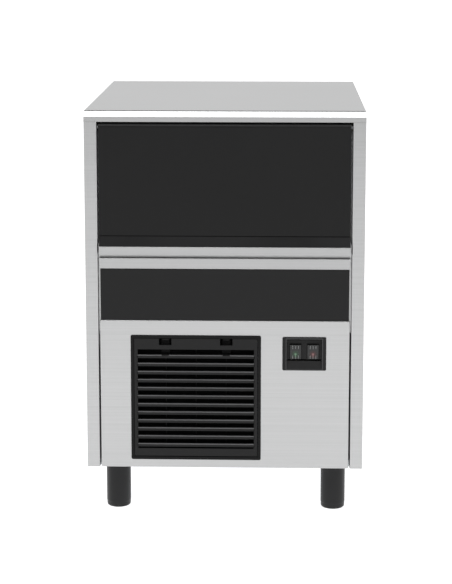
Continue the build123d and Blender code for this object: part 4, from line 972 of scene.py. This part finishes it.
class ICEMACHINE_OT_switches(MachineOperator):
    """Bezel and the two ribbed rockers with their lamps"""

    bl_idname = "icemachine.switches"
    bl_label = "Switches"

    def build(self, scene):
        size = scene.ice_switches
        self.bezel(size)
        self.frames(size)
        self.rocker("green_rocker", size, size.green)
        self.rocker("red_rocker", size, size.red)

    @staticmethod
    def bezel(size):
        """A flanged bezel whose pocket ends in a narrow slot under the rockers."""
        low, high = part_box("switch_bezel")
        middle = (low.x + high.x) / 2
        inner = span(middle, size.pocket_width / 2)
        outer = (low.x, high.x, low.z, high.z)
        opening = (*inner, low.z + size.pocket_margin, high.z - size.pocket_drop)
        seat = span(size.level, size.seat_height / 2)
        floor_low, floor_high = seat[0] - 4.0 * MM, opening[3] - 3.0 * MM
        floor = low.y + size.pocket_depth
        flange, lip = low.y + 2.0 * MM, 3.0 * MM
        outside, inside, sunk = 2.5 * MM, 1.2 * MM, 1.0 * MM
        loops = [front_loop(shrunk(outer, lip), sunk, y) for y in (high.y, flange)]
        loops.append(front_loop(outer, outside, flange))
        for margin, depth in ((0.0, 0.8), (0.12, 0.4), (0.4, 0.12), (0.8, 0.0)):
            corners = shrunk(outer, margin * MM)
            loops.append(front_loop(corners, outside, low.y + depth * MM))
        bead = (
            (-2.2, 0.0), (-1.9, -0.35), (-1.5, -0.55), (-1.0, -0.6),
            (-0.5, -0.45), (-0.15, -0.1), (0.0, 0.5),
        )
        for margin, depth in bead:
            corners = shrunk(opening, margin * MM)
            loops.append(front_loop(corners, inside, low.y + depth * MM))
        pocket = (*inner, floor_low, floor_high)
        loops += [front_loop(pocket, inside, y) for y in (floor, high.y)]
        mesh = bmesh.new()
        loft(mesh, loops, closed=True)

        holes = [
            span(middle + side * size.spacing / 2, size.seat_width / 2) for side in BOTH_SIDES
        ]
        slot = (floor_low + 0.3 * MM, floor_low + 3.4 * MM)
        slot_ends = (inner[0] + 1.2 * MM, inner[1] - 1.2 * MM)
        lap = 0.5 * MM

        def is_open(x, z):
            in_slot = slot[0] < z < slot[1] and slot_ends[0] < x < slot_ends[1]
            return in_slot or (seat[0] < z < seat[1] and any(one < x < two for one, two in holes))

        columns = sorted([inner[0] - lap, *slot_ends, *holes[0], *holes[1], inner[1] + lap])
        rows = [floor_low - lap, *slot, *seat, floor_high + lap]
        back = high.y - 0.4 * MM
        pierced_plate(mesh, columns, rows, is_open, floor, back, 0.25 * MM)
        face_outwards(mesh)
        finish = finish_of("bezel")
        piece("switch_surround", mesh, "cabinet", finish, ("switch_bezel",))

    @staticmethod
    def frames(size):
        """The switches' rims on the bezel's floor and the housings behind them."""
        low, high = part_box("switch_bodies")
        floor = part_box("switch_bezel")[0].y + size.pocket_depth
        middle = (low.x + high.x) / 2
        rim = ((high.x - low.x - size.spacing) / 2, (high.z - low.z) / 2)
        housing = (rim[0] - 0.7 * MM, rim[1] - 0.7 * MM)
        cavity = (rim[0] - 1.2 * MM, rim[1] - 1.1 * MM)
        opening = (size.width / 2 + 0.35 * MM, size.height / 2 + 0.5 * MM)
        edge = 0.35 * MM
        cavity_end = low.y + 13.0 * MM
        steps = (
            (housing, 0.0, high.y), (housing, 0.0, floor),
            (rim, 0.0, floor), (rim, 0.0, low.y + edge),
            (rim, 0.3 * edge, low.y + 0.3 * edge), (rim, edge, low.y),
            (opening, 0.0, low.y), (opening, 0.0, floor),
            (cavity, 0.0, floor), (cavity, 0.0, cavity_end),
        )
        mesh = bmesh.new()
        for side in BOTH_SIDES:
            x = middle + side * size.spacing / 2
            loft(mesh, [
                front_loop(
                    shrunk((*span(x, half), *span(size.level, tall)), inset), 0.5 * MM, y
                )
                for (half, tall), inset, y in steps
            ])
        face_outwards(mesh)
        finish = finish_of("grille")
        piece("switch_frames", mesh, "cabinet", finish, ("switch_bodies",))

    @staticmethod
    def rocker(node, size, glow):
        """A dished key on a narrower stem, with ribs at both ends and pivot pins."""
        low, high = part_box(node)
        x = (low.x + high.x) / 2
        pivot_y = -0.295 + 5.1 * MM
        half, end = size.width / 2, size.height / 2
        wide, deep = size.stem_width / 2, size.stem_height / 2
        cosine, sine = math.cos(size.tilt), math.sin(size.tilt)

        def place(a, b, t):
            return (t, pivot_y + a * cosine - b * sine, size.level + a * sine + b * cosine)

        face, dish_depth, skirt = -4.6 * MM, 1.3 * MM, -1.9 * MM
        cap = [
            (face + dish_depth * (1 - (k / 8.0) ** 2), k / 8.0 * end) for k in range(-8, 9)
        ]
        cap += [(skirt, end), (skirt, -end)]
        stem = [(-3.0 * MM, deep), (0.5 * MM, deep), (6.0 * MM, 4.0 * MM)]
        stem += [(a, -b) for a, b in reversed(stem)]
        mesh = bmesh.new()
        bar(mesh, cap, place, *span(x, half))
        bar(mesh, stem, place, *span(x, wide))
        face_outwards(mesh)
        sharp = [
            edge for edge in mesh.edges
            if len(edge.link_faces) == 2 and edge.calc_face_angle(0.0) > 1.2
        ]
        round_edges(mesh, sharp, 0.45 * MM, 3)
        for side in BOTH_SIDES:
            start = (x + side * (wide - 1 * MM), pivot_y, size.level)
            pin_x(mesh, start, side, 1.4 * MM, 1.5 * MM)
        lamp = (x, pivot_y - 4.4 * MM, size.level - 4.8 * MM)
        lens = lit_rocker(node + "_lens", glow, lamp, size.smoke, painted_halo=0.045).material
        piece(node + "_key", mesh, node, lens, (node,))

        rib_face, rib_foot, rib_edge, rib_half = -5.35 * MM, -3.0 * MM, 0.35 * MM, 0.65 * MM
        mesh = bmesh.new()
        for side in BOTH_SIDES:
            upper, lower = (end - 0.9 * MM) * side, (end - 7.0 * MM) * side
            corners = [
                (rib_face, lower), (rib_face, upper), (rib_foot, upper), (rib_foot, lower)
            ]
            outline = rounded(corners, [rib_edge, rib_edge, 0, 0], 3)
            for column in (-1, 0, 1):
                bar(mesh, outline, place, *span(x + column * half / 2, rib_half))
        face_outwards(mesh)
        # The ribs' lighter colour is a painted highlight, and their halo is painted lamp light.
        rib = lit_rocker(node + "_rib", glow, lamp, size.rib, painted_halo=0.12).material
        piece(node + "_ribs", mesh, node, rib)


class ICEMACHINE_OT_legs(MachineOperator):
    """Round plastic legs with rubber pads and threaded studs"""

    bl_idname = "icemachine.legs"
    bl_label = "Legs"

    def build(self, scene):
        size = scene.ice_legs
        radius, top = size.radius, size.height
        foot = radius - 0.5 * MM
        sleeve = [
            (radius - 4.0 * MM, 0.6 * MM),
            (foot - 0.2 * MM, 0.6 * MM),
            (foot, 9.0 * MM),
            (radius - 0.1 * MM, 9.6 * MM),
            (radius, 12.0 * MM),
            (radius, top - 1.2 * MM),
            (radius - 1.2 * MM, top),
            (6.2 * MM, top),
        ]
        sleeve = rounded(sleeve, [0, 2.4 * MM, 0, 0, 0, 0, 0, 0])
        pad = [
            (radius - 3.2 * MM, 0.0),
            (radius - 2.6 * MM, 0.3 * MM),
            (radius - 2.6 * MM, 0.9 * MM),
            (radius - 6 * MM, 0.9 * MM),
        ]
        for node in ("leg_front_left", "leg_front_right", "leg_rear_left", "leg_rear_right"):
            low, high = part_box(node)
            centre = ((low.x + high.x) / 2, (low.y + high.y) / 2, 0.0)
            mesh = bmesh.new()
            lathe(mesh, sleeve, centre)
            piece(node + "_sleeve", mesh, node, finish_of("leg"), (node,))
            mesh = bmesh.new()
            lathe(mesh, pad, centre)
            piece(node + "_pad", mesh, node, finish_of("rubber"))
            mesh = bmesh.new()
            self.thread(mesh, centre, top - 1.0 * MM, top + size.stud, size.thread)
            zinc = finish_of("zinc_steel")
            piece(node + "_stud", mesh, node, zinc, sharp=60.0)

    @staticmethod
    def thread(mesh, centre, low, high, pitch, steps=24):
        """A threaded rod with a tapered end."""
        radius, groove, taper, tip = 5.0 * MM, 0.8 * MM, 1.5 * MM, 0.86
        levels = int((high - low) / (pitch / 4))
        loops = []
        for level in range(levels + 1):
            z = low + (high - low) * level / levels
            lead = min(1.0, (high - z) / taper)
            loop = []
            for step, (cosine, sine) in enumerate(circle(steps)):
                phase = ((z - low) / pitch - step / steps) % 1.0
                deep = groove * (1 - abs(2 * phase - 1))
                size = (radius - deep) * (tip + (1 - tip) * lead)
                loop.append((centre[0] + size * cosine, centre[1] + size * sine, z))
            loops.append(loop)
        loft(mesh, loops)


class ICEMACHINE_OT_rear(MachineOperator):
    """Cross-head screws and the fittings on the rear"""

    bl_idname = "icemachine.rear"
    bl_label = "Rear fittings"

    def build(self, scene):
        low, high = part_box("panel_screws")
        mesh = bmesh.new()
        radius = 4.0 * MM
        spacing = (high.z - low.z - 2 * radius) / 3
        for x in (low.x + radius, high.x - radius):
            for row in range(4):
                z = low.z + radius + row * spacing
                self.screw_head(mesh, (x, low.y, z), radius, high.y - low.y)
        zinc = finish_of("zinc_steel")
        piece("rear_screws", mesh, "cabinet", zinc, ("panel_screws",), sharp=40.0)
        dress("cable_gland", "drain_outlet", "water_valve", "bin_drain")

    @staticmethod
    def screw_head(mesh, centre, radius, height, cells=20):
        """A pan head with a cross recess, from a square grid bent into a disc."""
        x, y, z = centre
        rim, rim_height = 0.97, 0.35 * height
        arm_half, arm_reach, recess = 0.14, 0.52, 0.55 * height

        def point(column, row):
            a, b = 2 * column / cells - 1, 2 * row / cells - 1
            u, v = a * math.sqrt(1 - b * b / 2), b * math.sqrt(1 - a * a / 2)
            reach = min(1.0, math.hypot(u, v))
            rise = height * (1 - reach ** 4) ** 0.5
            if reach < rim:
                rise = max(rise, rim_height)
            if min(abs(u), abs(v)) < arm_half and max(abs(u), abs(v)) < arm_reach:
                rise -= recess
            return mesh.verts.new((x - radius * u, y + max(rise, 0.0), z + radius * v))

        grid = [[point(column, row) for column in range(cells + 1)] for row in range(cells + 1)]
        for lower, upper in zip(grid, grid[1:]):
            for k in range(cells):
                mesh.faces.new((lower[k], lower[k + 1], upper[k + 1], upper[k]))


class ICEMACHINE_OT_ice_maker(MachineOperator):
    """Bin, basin, fingers and curtain behind the door"""

    bl_idname = "icemachine.ice_maker"
    bl_label = "Ice maker"

    def build(self, scene):
        dress("bin_liner", "module_bracket", "evaporator", "evaporator_coil", "evaporator_cover")
        dress("water_basin", "paddle_motor", "paddle_shaft", "tilt_motor", "bin_thermostat")
        dress("fill_pipe")
        dress("splash_curtain", finish="curtain")


class ICEMACHINE_OT_cooling(MachineOperator):
    """Compressor, condenser, fan and tubes"""

    bl_idname = "icemachine.cooling"
    bl_label = "Cooling circuit"

    def build(self, scene):
        dress("compressor", "start_relay", "condenser", "fan_blade", "fan_motor", "control_box")
        dress("filter_drier", "discharge_tube", "liquid_tube", "suction_tube", "hot_gas_valve")


class ICEMACHINE_OT_stage(MachineOperator):
    """Pale floor, soft light and camera"""

    bl_idname = "icemachine.stage"
    bl_label = "Stage"

    def build(self, scene):
        size = scene.ice_stage
        self.floor(scene, size)
        self.sky(scene)
        self.softbox(scene)
        self.camera(scene, size)

    @staticmethod
    def floor(scene, size):
        """A wide sheet of paper just below the feet."""
        reach, level = 40.0, -0.6 * MM
        corners = ((-reach, -reach), (reach, -reach), (reach, reach), (-reach, reach))
        data = bpy.data.meshes.new("studio_floor")
        data.from_pydata([(x, y, level) for x, y in corners], [], [(0, 1, 2, 3)])
        paper = {"Specular_IOR_Level": 0.1, "Emission_Strength": 0.75}
        finish = Finish("floor_paper", size.floor, 0.85, **paper)
        finish.set("Emission Color", (1.0, 1.0, 1.0, 1.0))
        finish.tint(finish.noise(0.8), scaled(size.floor, 0.985), size.floor)
        data.materials.append(finish.material)
        floor = bpy.data.objects.new("studio_floor", data)
        scene.collection.objects.link(floor)

    @staticmethod
    def sky(scene):
        """Even studio surround, darker in front of the machine and overhead."""
        world = bpy.data.worlds.new("studio_surround")
        world.use_nodes = True
        nodes = Nodes(world.node_tree)
        place = nodes.add("ShaderNodeTexCoord").outputs["Generated"]
        front = nodes.levels(nodes.along(place, "Y"), 0.42, 1.0, -0.6, 0.5)
        overhead = nodes.levels(nodes.along(place, "Z"), 1.0, 0.2, 0.62, 0.9)
        background = nodes.tree.nodes["Background"]
        background.inputs["Color"].default_value = (1.0, 1.0, 1.0, 1.0)
        strength = nodes.product(front, overhead)
        nodes.tree.links.new(strength, background.inputs["Strength"])
        scene.world = world

    @staticmethod
    def softbox(scene):
        """A wide softbox above the camera's side, turned towards the machine."""
        place, target = Vector((0.0, -2.3, 3.3)), Vector((0.0, -0.1, 0.7))
        light = bpy.data.lights.new("key_softbox", "AREA")
        light.shape = "RECTANGLE"
        light.size, light.size_y = 4.6, 1.3
        light.energy = 95.0
        obj = bpy.data.objects.new("key_softbox", light)
        obj.location = place
        obj.rotation_euler = (target - place).to_track_quat("-Z", "Y").to_euler()
        scene.collection.objects.link(obj)

    @staticmethod
    def camera(scene, size):
        """The camera at the photograph's viewing angle."""
        data = bpy.data.cameras.new("view_camera")
        data.sensor_width = 36.0
        data.lens = size.lens
        data.shift_y = size.rise
        obj = bpy.data.objects.new("view_camera", data)
        obj.location = size.eye
        obj.rotation_euler = (math.pi / 2 - size.pitch, 0.0, size.yaw)
        scene.collection.objects.link(obj)
        scene.camera = obj
        scene.view_settings.view_transform = "Standard"
        scene.view_settings.look = "None"


OPERATORS = (
    ICEMACHINE_OT_cabinet,
    ICEMACHINE_OT_door,
    ICEMACHINE_OT_grille,
    ICEMACHINE_OT_switches,
    ICEMACHINE_OT_legs,
    ICEMACHINE_OT_rear,
    ICEMACHINE_OT_ice_maker,
    ICEMACHINE_OT_cooling,
    ICEMACHINE_OT_stage,
)


class ICEMACHINE_PT_sidebar(bpy.types.Panel):
    """Sizes, colours and operators of the ice machine"""

    bl_idname = "ICEMACHINE_PT_sidebar"
    bl_label = "Ice machine"
    bl_space_type = "VIEW_3D"
    bl_region_type = "UI"
    bl_category = "Ice machine"

    def draw(self, context):
        """List the settings and the operators."""
        for name, group in GROUPS.items():
            box = self.layout.box()
            box.label(text=group.__doc__)
            for setting in group.__annotations__:
                box.prop(getattr(context.scene, name), setting)
        for operator in OPERATORS:
            self.layout.operator(operator.bl_idname)


def register():
    """Register the settings, the operators and the panel."""
    for name, group in GROUPS.items():
        bpy.utils.register_class(group)
        setattr(bpy.types.Scene, name, PointerProperty(type=group))
    for operator in OPERATORS:
        bpy.utils.register_class(operator)
    bpy.utils.register_class(ICEMACHINE_PT_sidebar)


def unregister():
    """Take the panel, the operators and the settings away again."""
    bpy.utils.unregister_class(ICEMACHINE_PT_sidebar)
    for operator in reversed(OPERATORS):
        bpy.utils.unregister_class(operator)
    for name, group in reversed(GROUPS.items()):
        delattr(bpy.types.Scene, name)
        bpy.utils.unregister_class(group)


def main():
    """Build every piece in order."""
    register()
    for operator in OPERATORS:
        family, name = operator.bl_idname.split(".")
        getattr(getattr(bpy.ops, family), name)()


if __name__ == "__main__":
    main()
